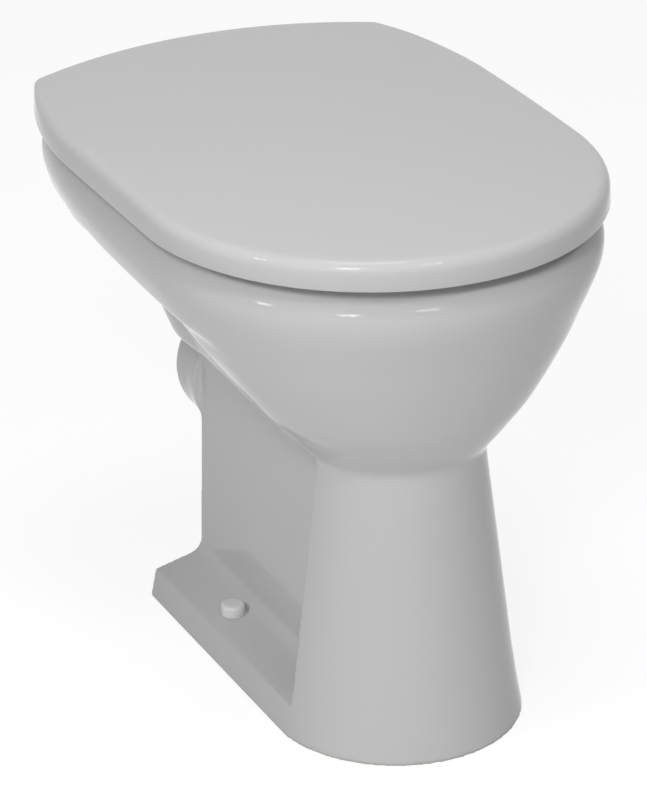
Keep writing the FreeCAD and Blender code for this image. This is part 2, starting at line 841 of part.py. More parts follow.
def make_pan():
    """The glazed pan: rim, bowl, trap, pedestal and outlet in one piece."""
    rim = size("rim_height")
    deck_under = rim - size("deck_thickness")
    lip_bottom = rim - size("lip_depth")
    rear = size("pedestal_rear")
    hull_outlines = station_outlines("hull", HULL)
    rim_outlines = station_outlines("rim", RIM)
    hull = loft("hull_loft", rim_outlines[::-1] + hull_outlines, ruled=True)
    bulge = loft("bulge_loft", station_outlines("bulge", BULGE), ruled=True)
    outlet_blank = cylinder(
        "outlet_blank",
        size("outlet_radius"),
        size("outlet_end") - size("outlet_root"),
        (0, size("outlet_root"), size("outlet_height")),
        Y_AXIS,
    )
    outlet_flare = cone(
        "outlet_flare",
        size("outlet_root_radius"),
        size("outlet_radius"),
        size("outlet_root") - rear,
        (0, rear, size("outlet_height")),
        Y_AXIS,
    )
    outlet_edge = number(size("outlet_end")) - 0.01
    outlet = chamfer(
        "outlet_spigot",
        outlet_blank,
        size("outlet_chamfer"),
        lambda edge: edge.BoundBox.YMin > outlet_edge,
    )
    blank = fuse("pan_blank", [hull, bulge, make_pedestal(), outlet_flare, outlet])

    lip = opening_prism("lip_outside", size("lip_thickness"), lip_bottom, rim)
    bowl_space = cut("bowl_space", loft("bowl_loft", station_outlines("bowl", BOWL), ruled=True), lip)
    mouth = opening_prism("mouth", 0, lip_bottom, rim + size("deck_thickness"))
    inlet = cylinder(
        "inlet_bore",
        size("inlet_radius"),
        size("inlet_depth"),
        (0, size("hull_rear_at_1_") + size("overrun") - size("inlet_depth"), below_rim("inlet_drop")),
        Y_AXIS,
    )
    hollows = [bowl_space, mouth, trap_bore(), inlet] + deck_pockets(deck_under)
    for side, sign in SIDES.items():
        deck_hole = (size("deck_hole_x") * sign, size("deck_hole_y"), deck_under - size("deck_thickness") / 2)
        foot_x, foot_y = size("foot_hole_x") * sign, size("foot_hole_y")
        seat = size("foot_seat_height")
        hollows.append(
            cylinder(f"deck_hole_{side}", size("deck_hole_radius"), size("deck_thickness") * 2, deck_hole)
        )
        hollows.append(
            cylinder(f"foot_hole_{side}", size("foot_hole_radius"), seat * 2, (foot_x, foot_y, seat / -2))
        )
        hollows.append(cylinder(f"foot_seat_{side}", size("foot_seat_radius"), seat, (foot_x, foot_y, seat)))
    return cut("pan_body", blank, fuse("pan_hollows", hollows))


def split_casting(body):
    """Rim, outlet, foot, column, web, bowl and rear of the casting, which meet face to face at the seams."""
    rim = size("rim_height")
    deck_under = rim - size("deck_thickness")
    foot_seam, bowl_seam = size("foot_seam_height"), below_rim("bowl_seam_drop")
    side = size("hull_half_at_1_") + size("overrun")
    front, rear = size("hull_front_at_1_") - size("overrun"), size("hull_rear_at_1_") + size("overrun")

    def slab(name, near, far, low, high):
        return box(name, (side * -1, near, low), (side, far, high))

    above_deck = slab("above_deck", front, rear, deck_under, rim + size("overrun"))
    lip = opening_prism("lip_zone", size("lip_thickness"), rim - size("lip_depth"), deck_under)
    outlet_side = size("outlet_root_radius")
    outlet = box(
        "outlet_zone",
        (outlet_side * -1, size("outlet_root"), size("outlet_height") - outlet_side),
        (outlet_side, size("outlet_end") + size("overrun"), size("outlet_height") + outlet_side),
    )
    zones = {
        "pan_rim": fuse("rim_zone", [above_deck, lip]),
        "pan_outlet": outlet,
        "pan_foot": slab("foot_zone", front, rear, size("overrun") * -1, foot_seam),
        "pan_column": slab("column_zone", front, size("column_seam"), foot_seam, bowl_seam),
        "pan_web": slab("web_zone", size("column_seam"), rear, foot_seam, bowl_seam),
        "pan_bowl": slab("bowl_zone", front, size("rear_seam"), bowl_seam, deck_under),
    }
    rest = body
    for label, zone in zones.items():
        finished(common(f"{label}_casting", [rest, zone]), label)
        rest = cut(f"casting_less_{label}", rest, zone)
    finished(rest, "pan_rear")


def hinge_span():
    """Distances from the middle plane of the faces along one hinge: seat lug, bracket, lid lug."""
    half_bracket = size("bracket_width") / 2
    inner = size("deck_hole_x") - half_bracket
    outer = size("deck_hole_x") + half_bracket
    gap, lug = size("hinge_gap"), size("lug_width")
    return {
        "seat_lug": (inner - gap - lug, inner - gap),
        "bracket": (inner, outer),
        "lid_lug": (outer + gap, outer + gap + lug),
    }


def along_hinge(name, radius, span, sign):
    """A cylinder on the hinge axis between two distances from the middle plane."""
    low = span[0] if sign > 0 else span[1] * -1
    return cylinder(name, radius, span[1] - span[0], (low, hinge_y(), hinge_z()), X_AXIS)


def across_box(name, span, sign, low, high):
    """A box between two distances from the middle plane, given by its Y and Z corners."""
    left = span[0] if sign > 0 else span[1] * -1
    right = span[1] if sign > 0 else span[0] * -1
    return box(name, (left, low[0], low[1]), (right, high[0], high[1]))


def pad_top():
    """Height of the top of the pad under the bracket."""
    return size("rim_height") + size("bracket_pad_thickness")


def bracket_top():
    """Height of the bracket's base plate."""
    return pad_top() + size("bracket_thickness")


def bracket_ends():
    """Front and rear end of the bracket's base."""
    half = size("bracket_length") / 2
    return size("deck_hole_y") - half, size("deck_hole_y") + half


def make_bracket(side, sign):
    """Hinge bracket: base on the deck, neck and knuckle behind the pan."""
    spans = hinge_span()
    front, rear = bracket_ends()
    radius = size("knuckle_radius")
    points = [
        (front, pad_top()),
        (rear, pad_top()),
        (rear, pad_top() + size("bracket_neck_step")),
        (hinge_y(), hinge_z() - radius * NECK_UNDER),
        (hinge_y() - radius * NECK_BEHIND, hinge_z() + radius * NECK_OVER),
        (rear - size("bracket_neck_start"), bracket_top()),
        (front, bracket_top()),
    ]
    low = spans["bracket"][0] if sign > 0 else spans["bracket"][1] * -1
    body = doc.addObject("PartDesign::Body", f"bracket_body_{side}")
    sketch = body.newObject("Sketcher::SketchObject", f"bracket_profile_{side}")
    planes = {plane.Role: plane for plane in body.Origin.OriginFeatures}
    sketch.AttachmentSupport = [(planes["YZ_Plane"], "")]
    sketch.MapMode = "FlatFace"
    sketch.setExpression("AttachmentOffset.Base.z", low.text)
    draw_polygon(sketch, points)
    doc.recompute()
    pad = body.newObject("PartDesign::Pad", f"bracket_block_{side}")
    pad.Profile = sketch
    bind(pad, Length=size("bracket_width"))
    settle(pad)
    knuckle = along_hinge(f"knuckle_{side}", radius, spans["bracket"], sign)
    solid = fuse(f"bracket_solid_{side}", [body, knuckle])
    bolt_hole = cylinder(
        f"bracket_bolt_hole_{side}",
        size("bolt_radius") + size("bolt_clearance"),
        size("bracket_thickness") * 3,
        (size("deck_hole_x") * sign, size("deck_hole_y"), pad_top() - size("bracket_thickness")),
    )
    pin_hole = along_hinge(
        f"bracket_pin_hole_{side}", size("pin_radius") + size("pin_fit"), spans["bracket"], sign
    )
    holes = fuse(f"bracket_holes_{side}", [bolt_hole, pin_hole])
    return finished(cut(f"bracket_{side}", solid, holes), f"hinge_bracket_{side}")


def make_bracket_pad(side, sign):
    """Soft pad between bracket and glaze."""
    front, rear = bracket_ends()
    plate = across_box(
        f"pad_plate_{side}",
        hinge_span()["bracket"],
        sign,
        (front, size("rim_height")),
        (rear, pad_top()),
    )
    hole = cylinder(
        f"pad_hole_{side}",
        size("bolt_radius") + size("bolt_clearance"),
        size("bracket_pad_thickness") * 3,
        (
            size("deck_hole_x") * sign,
            size("deck_hole_y"),
            size("rim_height") - size("bracket_pad_thickness"),
        ),
    )
    return finished(cut(f"pad_{side}", plate, hole), f"bracket_pad_{side}")


def make_pin(side, sign):
    """Hinge pin with a head at its inner end."""
    spans = hinge_span()
    start = spans["seat_lug"][0] - size("pin_reach")
    shank = along_hinge(
        f"pin_shank_{side}", size("pin_radius"), (start, spans["lid_lug"][1] + size("pin_reach")), sign
    )
    head = along_hinge(
        f"pin_head_{side}", size("pin_head_radius"), (start - size("pin_head_length"), start), sign
    )
    return finished(fuse(f"pin_{side}", [shank, head]), f"hinge_pin_{side}")


def make_bush(kind, side, sign):
    """Flanged bush in a lug of the seat or the lid."""
    inner, outer = hinge_span()[f"{kind}_lug"]
    flange = size("bush_flange")
    flange_span = (outer, outer + flange) if kind == "seat" else (inner - flange, inner)
    bore_span = (inner - flange, outer + flange)
    sleeve_radius = size("pin_radius") + size("pin_running_clearance") + size("bush_wall")
    name = f"{kind}_bush_{side}"
    sleeve = along_hinge(f"{name}_sleeve", sleeve_radius, (inner, outer), sign)
    collar = along_hinge(f"{name}_flange", size("bush_flange_radius"), flange_span, sign)
    bore = along_hinge(
        f"{name}_bore", size("pin_radius") + size("pin_running_clearance"), bore_span, sign
    )
    return finished(cut(f"{name}_cut", fuse(f"{name}_solid", [sleeve, collar]), bore), name)


def bush_seat_radius():
    """Radius of the hole in a lug that a bush sits in."""
    return size("pin_radius") + size("pin_running_clearance") + size("bush_wall") + size("pin_fit")


def make_bolt_set(side, sign):
    """Bolt, rubber cone, washer and wing nut of one hinge."""
    x, y = size("deck_hole_x") * sign, size("deck_hole_y")
    deck_under = size("rim_height") - size("deck_thickness")
    bore_radius = size("bolt_radius") + size("bolt_clearance")

    head = bind(
        doc.addObject("Part::Prism", f"bolt_head_{side}"),
        Circumradius=size("bolt_head_radius"),
        Height=size("bolt_head_height"),
    )
    head.Polygon = 6
    place(head, (x, y, bracket_top()))
    shank = cylinder(
        f"bolt_shank_{side}",
        size("bolt_radius"),
        size("bolt_length"),
        (x, y, bracket_top() - size("bolt_length")),
    )
    finished(fuse(f"bolt_{side}", [head, shank]), f"hinge_bolt_{side}")

    cone_bottom = deck_under - size("cone_drop")
    cone_height = size("cone_drop") + size("cone_entry")
    solid_cone = cone(
        f"cone_solid_{side}",
        size("cone_bottom_radius"),
        size("cone_top_radius"),
        cone_height,
        (x, y, cone_bottom),
    )
    cone_bore = cylinder(
        f"cone_bore_{side}", bore_radius, cone_height * 2, (x, y, cone_bottom - cone_height / 2)
    )
    finished(cut(f"cone_{side}", solid_cone, cone_bore), f"bolt_cone_{side}")

    washer_bottom = cone_bottom - size("washer_thickness")
    disc = cylinder(
        f"washer_disc_{side}", size("washer_radius"), size("washer_thickness"), (x, y, washer_bottom)
    )
    disc_bore = cylinder(
        f"washer_bore_{side}",
        bore_radius,
        size("washer_thickness") * 3,
        (x, y, washer_bottom - size("washer_thickness")),
    )
    finished(cut(f"washer_{side}", disc, disc_bore), f"bolt_washer_{side}")

    hub_bottom = washer_bottom - size("nut_height")
    hub = cone(
        f"nut_hub_{side}",
        size("nut_top_radius"),
        size("nut_hub_radius"),
        size("nut_height"),
        (x, y, hub_bottom),
    )
    half_span, half_wing = size("wing_span") / 2, size("wing_thickness") / 2
    wing_low = washer_bottom - size("wing_height")
    wing_high = hub_bottom + size("nut_height") / 2
    blank = box(
        f"nut_wings_{side}",
        (x - half_span, y - half_wing, wing_low),
        (x + half_span, y + half_wing, wing_high),
    )
    wings = fillet(
        f"nut_wings_round_{side}",
        blank,
        size("wing_corner"),
        lambda edge: edge.BoundBox.XLength < 0.01 and edge.BoundBox.ZLength < 0.01,
    )
    nut_bore = cylinder(
        f"nut_bore_{side}", bore_radius, size("bolt_length"), (x, y, wing_low - size("nut_height"))
    )
    finished(cut(f"nut_{side}", fuse(f"nut_solid_{side}", [hub, wings]), nut_bore), f"wing_nut_{side}")


def buffer_place(kind, spot, sign):
    """Place of a buffer under the seat or the lid, set in from the side of the rim or the lid."""
    half = lid_half() if kind == "lid" else size("hull_half_at_1_")
    return (half - size(f"{kind}_buffer_{spot}_inset")) * sign, size(f"{kind}_buffer_{spot}_y")


def buffer_peg(name, x, y, bottom, clearance=0):
    """Peg, or with a clearance its hole, that holds a buffer."""
    radius = size("buffer_peg_radius") + clearance
    return cylinder(name, radius, size("buffer_peg_length") + clearance, (x, y, bottom))


def make_seat():
    """Seat ring with its opening and four lugs that reach back to the hinge."""
    bottom = seat_bottom()
    overrun = size("overrun")
    outline = named_outline("seat_outline", "seat", bottom)
    plate = extrude("seat_plate", outline, Z_AXIS, size("seat_thickness"))
    hole = named_outline("seat_opening_outline", "seat_opening", bottom - overrun)
    opening = extrude("seat_opening", hole, Z_AXIS, size("seat_thickness") + overrun * 2)
    ring = cut("seat_open", plate, opening)
    soft = chamfer("seat_soft", ring, size("seat_edge_chamfer"), at_height(seat_top()))
    pieces = [soft]
    bores = []
    for side, sign in SIDES.items():
        span = hinge_span()["seat_lug"]
        pieces.append(
            across_box(
                f"seat_arm_{side}",
                span,
                sign,
                (size("seat_rear") - size("arm_overlap"), bottom + size("arm_under_gap")),
                (hinge_y(), seat_top() - size("arm_under_gap")),
            )
        )
        pieces.append(along_hinge(f"seat_lug_{side}", size("lug_radius"), span, sign))
        bores.append(along_hinge(f"seat_lug_bore_{side}", bush_seat_radius(), span, sign))
        for spot in SEAT_BUFFERS:
            x, y = buffer_place("seat", spot, sign)
            bores.append(buffer_peg(f"seat_peg_hole_{spot}_{side}", x, y, bottom, size("peg_clearance")))
    return finished(cut("seat", fuse("seat_solid", pieces), fuse("seat_bores", bores)), "seat_ring")


def make_seat_buffer(spot, side, sign):
    """Buffer under the seat ring that rests on the rim."""
    x, y = buffer_place("seat", spot, sign)
    name = f"seat_buffer_{spot}_{side}"
    half_length, half_width = size("seat_buffer_length") / 2, size("seat_buffer_width") / 2
    block = box(
        f"{name}_block",
        (half_length * -1, half_width * -1, 0),
        (half_length, half_width, size("seat_lift")),
    )
    rounded = fillet(
        f"{name}_round",
        block,
        size("seat_buffer_corner"),
        lambda edge: edge.BoundBox.ZLength > number(size("overrun")),
    )
    rounded.setExpression("Placement.Rotation.Axis.z", "1")
    rounded.setExpression("Placement.Rotation.Angle", text_of(size(f"seat_buffer_{spot}_turn") * sign))
    place(rounded, (x, y, size("rim_height")))
    peg = buffer_peg(f"{name}_peg", x, y, seat_bottom())
    return finished(fuse(f"{name}_solid", [rounded, peg]), name)


def crown():
    """Block whose top has the lid's crown, an arc along the lid swept round a wide arc across it."""
    top = lid_top()
    across = size("crown_radius_across")
    along = size("crown_radius_along")
    reach = size("lid_rear") + size("lid_rear_bow") + size("lid_edge_radius")
    low = size("rim_height")
    turn = math.asin(number(reach) / number(along))
    middle = Vector(0, number(top - along), 0)
    rear_end = middle + Vector(math.sin(turn), math.cos(turn), 0) * number(along)
    front_end = Vector(-rear_end.x, rear_end.y, 0)
    rear_foot = Vector(rear_end.x, number(low), 0)
    front_foot = Vector(front_end.x, number(low), 0)
    sketch = doc.addObject("Sketcher::SketchObject", "crown_profile")
    sketch.Placement = Placement(Vector(), SIDE_VIEW)
    circle = Part.Circle(middle, Z_AXIS, number(along))
    sketch.addGeometry(Part.ArcOfCircle(circle, math.pi / 2 - turn, math.pi / 2 + turn))
    for start, end in ((front_end, front_foot), (front_foot, rear_foot), (rear_foot, rear_end)):
        sketch.addGeometry(Part.LineSegment(start, end))
    for index in range(4):
        sketch.addConstraint(Sketcher.Constraint("Coincident", index, 2, (index + 1) % 4, 1))
    sketch.addConstraint(Sketcher.Constraint("PointOnObject", 0, 3, -2))
    sketch.addConstraint(Sketcher.Constraint("Vertical", 1))
    sketch.addConstraint(Sketcher.Constraint("Vertical", 3))
    sketch.addConstraint(Sketcher.Constraint("Symmetric", 2, 1, 2, 2, -2))
    tie(sketch, "DistanceY", 0, 3, top - along)
    tie(sketch, "Radius", 0, None, along)
    tie(sketch, "DistanceX", 2, 2, reach)
    tie(sketch, "DistanceY", 2, 2, low)
    settle(sketch)
    block = doc.addObject("Part::Revolution", "lid_crown")
    block.Source = sketch
    block.Axis = Y_AXIS
    block.setExpression("Base.z", text_of(top - across))
    half_turn = math.degrees(math.asin(number(lid_half() + reach) / number(across)))
    block.Angle = half_turn
    block.Symmetric = True
    block.Solid = True
    return settle(block)


def lid_block():
    """Drafted block of the lid's outline with a top edge rounded by narrow bands."""
    radius = size("lid_edge_radius")
    start = lid_bottom() + size("lid_edge_rise") - radius
    outlines = [named_outline("lid_outline_foot", "lid", lid_bottom())]
    for turn in EDGE_TURNS:
        angle = math.radians(turn)
        inset = size("lid_draft") + radius * (1 - math.cos(angle))
        level = start + radius * math.sin(angle)
        outlines.append(named_outline(f"lid_outline_{turn}", "lid", level, inset * -1))
    past = lid_top() + size("lid_plate")
    outlines.append(named_outline("lid_outline_past", "lid", past, (size("lid_draft") + radius) * -1))
    return loft("lid_block", outlines, ruled=True)


def make_lid():
    """Lid: crowned plate with a skirt, holes for its buffers and a lug at each hinge."""
    bottom = lid_bottom()
    ceiling = lid_ceiling()
    plate = size("lid_plate")
    outside = common("lid_outside", [lid_block(), crown()])
    inner_outline = named_outline("lid_inner_outline", "lid", bottom - plate, size("lid_wall") * -1)
    inside = extrude("lid_inside", inner_outline, Z_AXIS, ceiling - bottom + plate)
    shell = cut("lid_shell", outside, inside)
    additions = []
    holes = []
    for side, sign in SIDES.items():
        spans = hinge_span()
        span = spans["lid_lug"]
        radius = size("lug_radius")
        additions.append(
            across_box(
                f"lid_arm_{side}",
                span,
                sign,
                (hinge_y() - radius, hinge_z()),
                (hinge_y() + radius, lid_top()),
            )
        )
        additions.append(along_hinge(f"lid_lug_{side}", radius, span, sign))
        holes.append(along_hinge(f"lid_lug_bore_{side}", bush_seat_radius(), span, sign))
        for spot in LID_BUFFERS:
            x, y = buffer_place("lid", spot, sign)
            holes.append(buffer_peg(f"lid_peg_hole_{spot}_{side}", x, y, ceiling, size("peg_clearance")))
    notches = []
    for side, sign in SIDES.items():
        spans = hinge_span()
        margin = size("notch_margin")
        wide = (spans["seat_lug"][0] - margin, spans["lid_lug"][1] + margin)
        low = (hinge_y() + margin, bottom - plate)
        high = (size("lid_rear") + size("lid_rear_bow") + margin, ceiling)
        notches.append(across_box(f"lid_notch_{side}", wide, sign, low, high))
    notched = cut("lid_notched", shell, fuse("lid_notches", notches))
    fittings = common("lid_fittings", [fuse("lid_additions", additions), outside])
    solid = fuse("lid_solid", [notched, fittings])
    return finished(cut("lid_body", solid, fuse("lid_holes", holes)), "lid")


def make_lid_buffer(spot, side, sign):
    """Round buffer under the lid that rests on the seat ring."""
    x, y = buffer_place("lid", spot, sign)
    name = f"lid_buffer_{spot}_{side}"
    ceiling = lid_ceiling()
    disc = cylinder(f"{name}_disc", size("lid_buffer_radius"), ceiling - seat_top(), (x, y, seat_top()))
    peg = buffer_peg(f"{name}_peg", x, y, ceiling)
    return finished(fuse(f"{name}_solid", [disc, peg]), name)


def make_foot_cap(side, sign):
    """Cap over one floor fixing and the washer that it snaps over."""
    x, y, seat = size("foot_hole_x") * sign, size("foot_hole_y"), size("foot_seat_height")
    wall = size("cap_wall")
    blank = cylinder(f"cap_blank_{side}", size("cap_radius"), size("cap_height"), (x, y, seat))
    top_edge = at_height(seat + size("cap_height"))
    rounded = chamfer(f"cap_round_{side}", blank, size("cap_edge_chamfer"), top_edge)
    room = size("cap_radius") - wall
    hollow = cylinder(f"cap_hollow_{side}", room, size("cap_height"), (x, y, seat - wall))
    finished(cut(f"cap_{side}", rounded, hollow), f"foot_cap_{side}")
    thickness = size("cap_washer_thickness")
    disc_radius = room - size("cap_clearance")
    disc = cylinder(f"cap_disc_{side}", disc_radius, thickness, (x, y, seat))
    hole_radius = size("cap_washer_hole_radius")
    hole = cylinder(f"cap_disc_hole_{side}", hole_radius, thickness * 3, (x, y, seat - thickness))
    finished(cut(f"cap_washer_ring_{side}", disc, hole), f"cap_washer_{side}")


def write_parts():
    """Check every object, then write each sub-part to its own file."""
    doc.recompute()
    for obj in doc.Objects:
        if "Invalid" in obj.State or "Error" in obj.State:
            raise RuntimeError(f"{obj.Name} failed: {obj.State}")
    for obj in finished_parts:
        if obj.Shape.isNull() or not obj.Shape.isValid() or not obj.Shape.Solids:
            raise RuntimeError(f"{obj.Label} has no valid shape")
    os.makedirs("parts", exist_ok=True)
    for obj in finished_parts:
        obj.Shape.exportStep(f"parts/{obj.Label}.step")
        print(obj.Label, len(obj.Shape.Solids), round(obj.Shape.Volume))


fill_sheet()
split_casting(make_pan())
make_seat()
make_lid()
for hinge_side, hinge_sign in SIDES.items():
    make_bracket(hinge_side, hinge_sign)
    make_bracket_pad(hinge_side, hinge_sign)
    make_pin(hinge_side, hinge_sign)
    make_bush("seat", hinge_side, hinge_sign)
    make_bush("lid", hinge_side, hinge_sign)
    make_bolt_set(hinge_side, hinge_sign)
    make_foot_cap(hinge_side, hinge_sign)
    for buffer_spot in SEAT_BUFFERS:
        make_seat_buffer(buffer_spot, hinge_side, hinge_sign)
    for buffer_spot in LID_BUFFERS:
        make_lid_buffer(buffer_spot, hinge_side, hinge_sign)
write_parts()
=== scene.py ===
import logging
import math
from dataclasses import dataclass
from enum import Enum
from typing import Callable, Sequence, Union

import bmesh
import bpy
import numpy as np
from bmesh.types import BMesh
from bpy.types import ID, Material, Node, NodeSocket, NodeTree, Object
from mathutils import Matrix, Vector


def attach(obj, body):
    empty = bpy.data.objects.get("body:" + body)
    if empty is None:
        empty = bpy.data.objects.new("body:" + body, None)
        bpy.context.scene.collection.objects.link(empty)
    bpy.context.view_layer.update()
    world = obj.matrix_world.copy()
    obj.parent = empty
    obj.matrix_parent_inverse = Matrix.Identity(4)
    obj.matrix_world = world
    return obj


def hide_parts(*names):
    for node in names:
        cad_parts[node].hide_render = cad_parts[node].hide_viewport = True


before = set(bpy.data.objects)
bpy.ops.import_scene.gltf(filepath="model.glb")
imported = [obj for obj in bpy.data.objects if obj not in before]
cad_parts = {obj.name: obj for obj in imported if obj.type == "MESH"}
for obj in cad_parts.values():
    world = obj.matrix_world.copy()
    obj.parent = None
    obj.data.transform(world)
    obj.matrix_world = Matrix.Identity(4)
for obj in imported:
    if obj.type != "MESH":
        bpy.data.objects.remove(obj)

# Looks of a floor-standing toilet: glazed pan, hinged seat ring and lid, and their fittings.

LOG = logging.getLogger("toilet")
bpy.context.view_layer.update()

Colour = tuple[float, float, float]
Spot = tuple[float, float, float]
Range = tuple[float, float]
Borders = tuple[float, float, float, float]
Key = Union[str, int]
Settings = dict[str, object]
Sockets = dict[Key, object]
Value = Union["Signal", float]
Placing = Callable[[float, float, float], Vector]

# Points of a CAD mesh closer than this are one point, in metres.
WELD = 0.00002
# Edges sharper than this are rounded, in degrees.
EASE_ANGLE = 32.0
# Edges sharper than this stay sharp in the shading of small fittings, in degrees.
FITTING_CREASE = 40.0
# Where the middle of a small rounded corner lies, as a share of its radius.
CORNER_MIDDLE = 0.3


class Side(Enum):
    """The two sides of the toilet, with the sign of their X."""

    LEFT = -1
    RIGHT = 1

    @property
    def word(self) -> str:
        """The side's word in a node's name."""
        return self.name.lower()


class Body(Enum):
    """Bodies that pieces ride on."""

    PAN = "pan"
    SEAT = "seat"
    LID = "lid"


def operator(operation: str, swapped: bool = False) -> Callable[["Signal", Value], "Signal"]:
    """Make an arithmetic method of a signal.

    Args:
        operation: Name of the Math node's operation.
        swapped: True if the signal stands on the right.

    Returns:
        The method, which adds one Math node.
    """

    def method(self: "Signal", other: Value) -> "Signal":
        """Add the Math node and give back its result."""
        sockets = {0: other, 1: self} if swapped else {0: self, 1: other}
        return self.shade.signal("ShaderNodeMath", {"operation": operation}, sockets)

    return method


class Signal:
    """A number that varies over a surface; arithmetic on it adds Math nodes."""

    __add__ = operator("ADD")
    __radd__ = operator("ADD", swapped=True)
    __sub__ = operator("SUBTRACT")
    __rsub__ = operator("SUBTRACT", swapped=True)
    __mul__ = operator("MULTIPLY")
    __rmul__ = operator("MULTIPLY", swapped=True)

    def __init__(self, shade: "Shade", socket: NodeSocket) -> None:
        """Keep the socket and the material that it belongs to."""
        self.shade = shade
        self.socket = socket

    def step(self, low: float, high: float) -> "Signal":
        """Smooth step.

        Args:
            low: Value below which the result is 0.
            high: Value above which the result is 1.

        Returns:
            A number from 0 to 1.
        """
        settings = {"interpolation_type": "SMOOTHSTEP"}
        sockets = {"Value": self, "From Min": low, "From Max": high}
        return self.shade.signal("ShaderNodeMapRange", settings, sockets)


class Nodes:
    """A node tree that the script fills."""

    def __init__(self, tree: NodeTree) -> None:
        """Start with the tree empty."""
        self.tree = tree
        self.tree.nodes.clear()

    def node(self, kind: str, settings: Settings, sockets: Sockets) -> Node:
        """Add a node.

        Args:
            kind: The node's type.
            settings: Properties, which are set first.
            sockets: Values or links by a socket's identifier, name or index.

        Returns:
            The new node.
        """
        made = self.tree.nodes.new(kind)
        for key, value in settings.items():
            setattr(made, key, value)
        for key, value in sockets.items():
            self.feed(made, key, value)
        return made

    def feed(self, node: Node, key: Key, value: object) -> None:
        """Set or link one input.

        Args:
            node: The node.
            key: Identifier, name or index of its input.
            value: A plain value, a socket or a signal.
        """
        if isinstance(key, int):
            target = node.inputs[key]
        else:
            named = [socket for socket in node.inputs if socket.identifier == key]
            target = named[0] if named else node.inputs[key]
        if isinstance(value, Signal):
            self.tree.links.new(value.socket, target)
        elif isinstance(value, NodeSocket):
            self.tree.links.new(value, target)
        else:
            target.default_value = value


class Shade(Nodes):
    """Nodes of one material on Object coordinates."""

    def __init__(self, name: str) -> None:
        """Start a material with a Principled shader.

        Args:
            name: The material's name.
        """
        self.material = bpy.data.materials.new(name)
        self.material.use_nodes = True
        super().__init__(self.material.node_tree)
        self.shader = self.node("ShaderNodeBsdfPrincipled", {}, {})
        self.node("ShaderNodeOutputMaterial", {}, {"Surface": self.shader.outputs["BSDF"]})
        self.place = self.node("ShaderNodeTexCoord", {}, {}).outputs["Object"]

    def signal(self, kind: str, settings: Settings, sockets: Sockets, output: int = 0) -> Signal:
        """Add a node and give back one of its outputs as a signal."""
        return Signal(self, self.node(kind, settings, sockets).outputs[output])

    def noise(self, scale: float, detail: float = 2.0, stretch: Spot = (1.0, 1.0, 1.0)) -> Signal:
        """Soft noise over the piece.

        Args:
            scale: Waves per metre.
            detail: Levels of finer waves.
            stretch: Scale of each axis.

        Returns:
            A number around one half.
        """
        placed = self.node("ShaderNodeMapping", {}, {"Vector": self.place, "Scale": stretch})
        sockets = {"Vector": placed.outputs[0], "Scale": scale, "Detail": detail}
        return self.signal("ShaderNodeTexNoise", {}, sockets)

    def height(self) -> Signal:
        """Height above the floor in metres."""
        return self.signal("ShaderNodeSeparateXYZ", {}, {0: self.place}, 2)

    def mix(self, share: Signal, first: object, second: object) -> NodeSocket:
        """Blend two colours.

        Args:
            share: How much of the second colour.
            first: A colour or a socket.
            second: A colour or a socket.

        Returns:
            The colour.
        """
        first = (*first, 1.0) if isinstance(first, tuple) else first
        second = (*second, 1.0) if isinstance(second, tuple) else second
        sockets = {"Factor_Float": share, "A_Color": first, "B_Color": second}
        made = self.node("ShaderNodeMix", {"data_type": "RGBA"}, sockets)
        return next(socket for socket in made.outputs if socket.identifier == "Result_Color")

    def bump(self, height: Signal, depth: float, strength: float) -> None:
        """Give the surface a relief.

        Args:
            height: The relief, around 0 to 1.
            depth: Depth of the relief in metres.
            strength: Share of the relief that shows.
        """
        sockets = {"Height": height, "Distance": depth, "Strength": strength}
        self.feed(self.shader, "Normal", self.node("ShaderNodeBump", {}, sockets).outputs[0])


@dataclass(frozen=True)
class Finish:
    """A moulded or coated surface with fine relief and slight change of tone.

    Scales of noise are in waves per metre.
    """

    name: str
    slot: str
    colour: Colour
    tone: float = 0.03
    roughness: float = 0.3
    roughness_change: float = 0.08
    grain: float = 700.0
    relief: float = 0.00005
    specular: float = 0.5
    metallic: float = 0.0
    tone_scale: float = 9.0
    roughness_scale: float = 60.0
    strength: float = 0.5

    def material(self) -> Material:
        """Build the material, or give back the one already built.

        Returns:
            The material.
        """
        known = bpy.data.materials.get(self.name)
        if known is not None:
            return known
        shade = Shade(self.name)
        shade.shader.inputs["Specular IOR Level"].default_value = self.specular
        shade.shader.inputs["Metallic"].default_value = self.metallic
        self.dress(shade)
        return shade.material

    def tones(self) -> tuple[Colour, Colour]:
        """The darkest and lightest tone of the colour."""
        ends = (1 - self.tone, 1 + self.tone)
        return tuple(tuple(min(1.0, part * end) for part in self.colour) for end in ends)

    def dress(self, shade: Shade) -> None:
        """Lay colour, roughness and relief.

        Args:
            shade: The material's nodes.
        """
        dark, light = self.tones()
        broad = shade.noise(self.tone_scale)
        fine = shade.noise(self.grain, detail=3.0)
        shade.feed(shade.shader, "Base Color", shade.mix(broad, dark, light))
        roughness = self.roughness + self.roughness_change * (shade.noise(self.roughness_scale) - 0.5)
        shade.feed(shade.shader, "Roughness", roughness)
        shade.bump(fine, self.relief, self.strength)


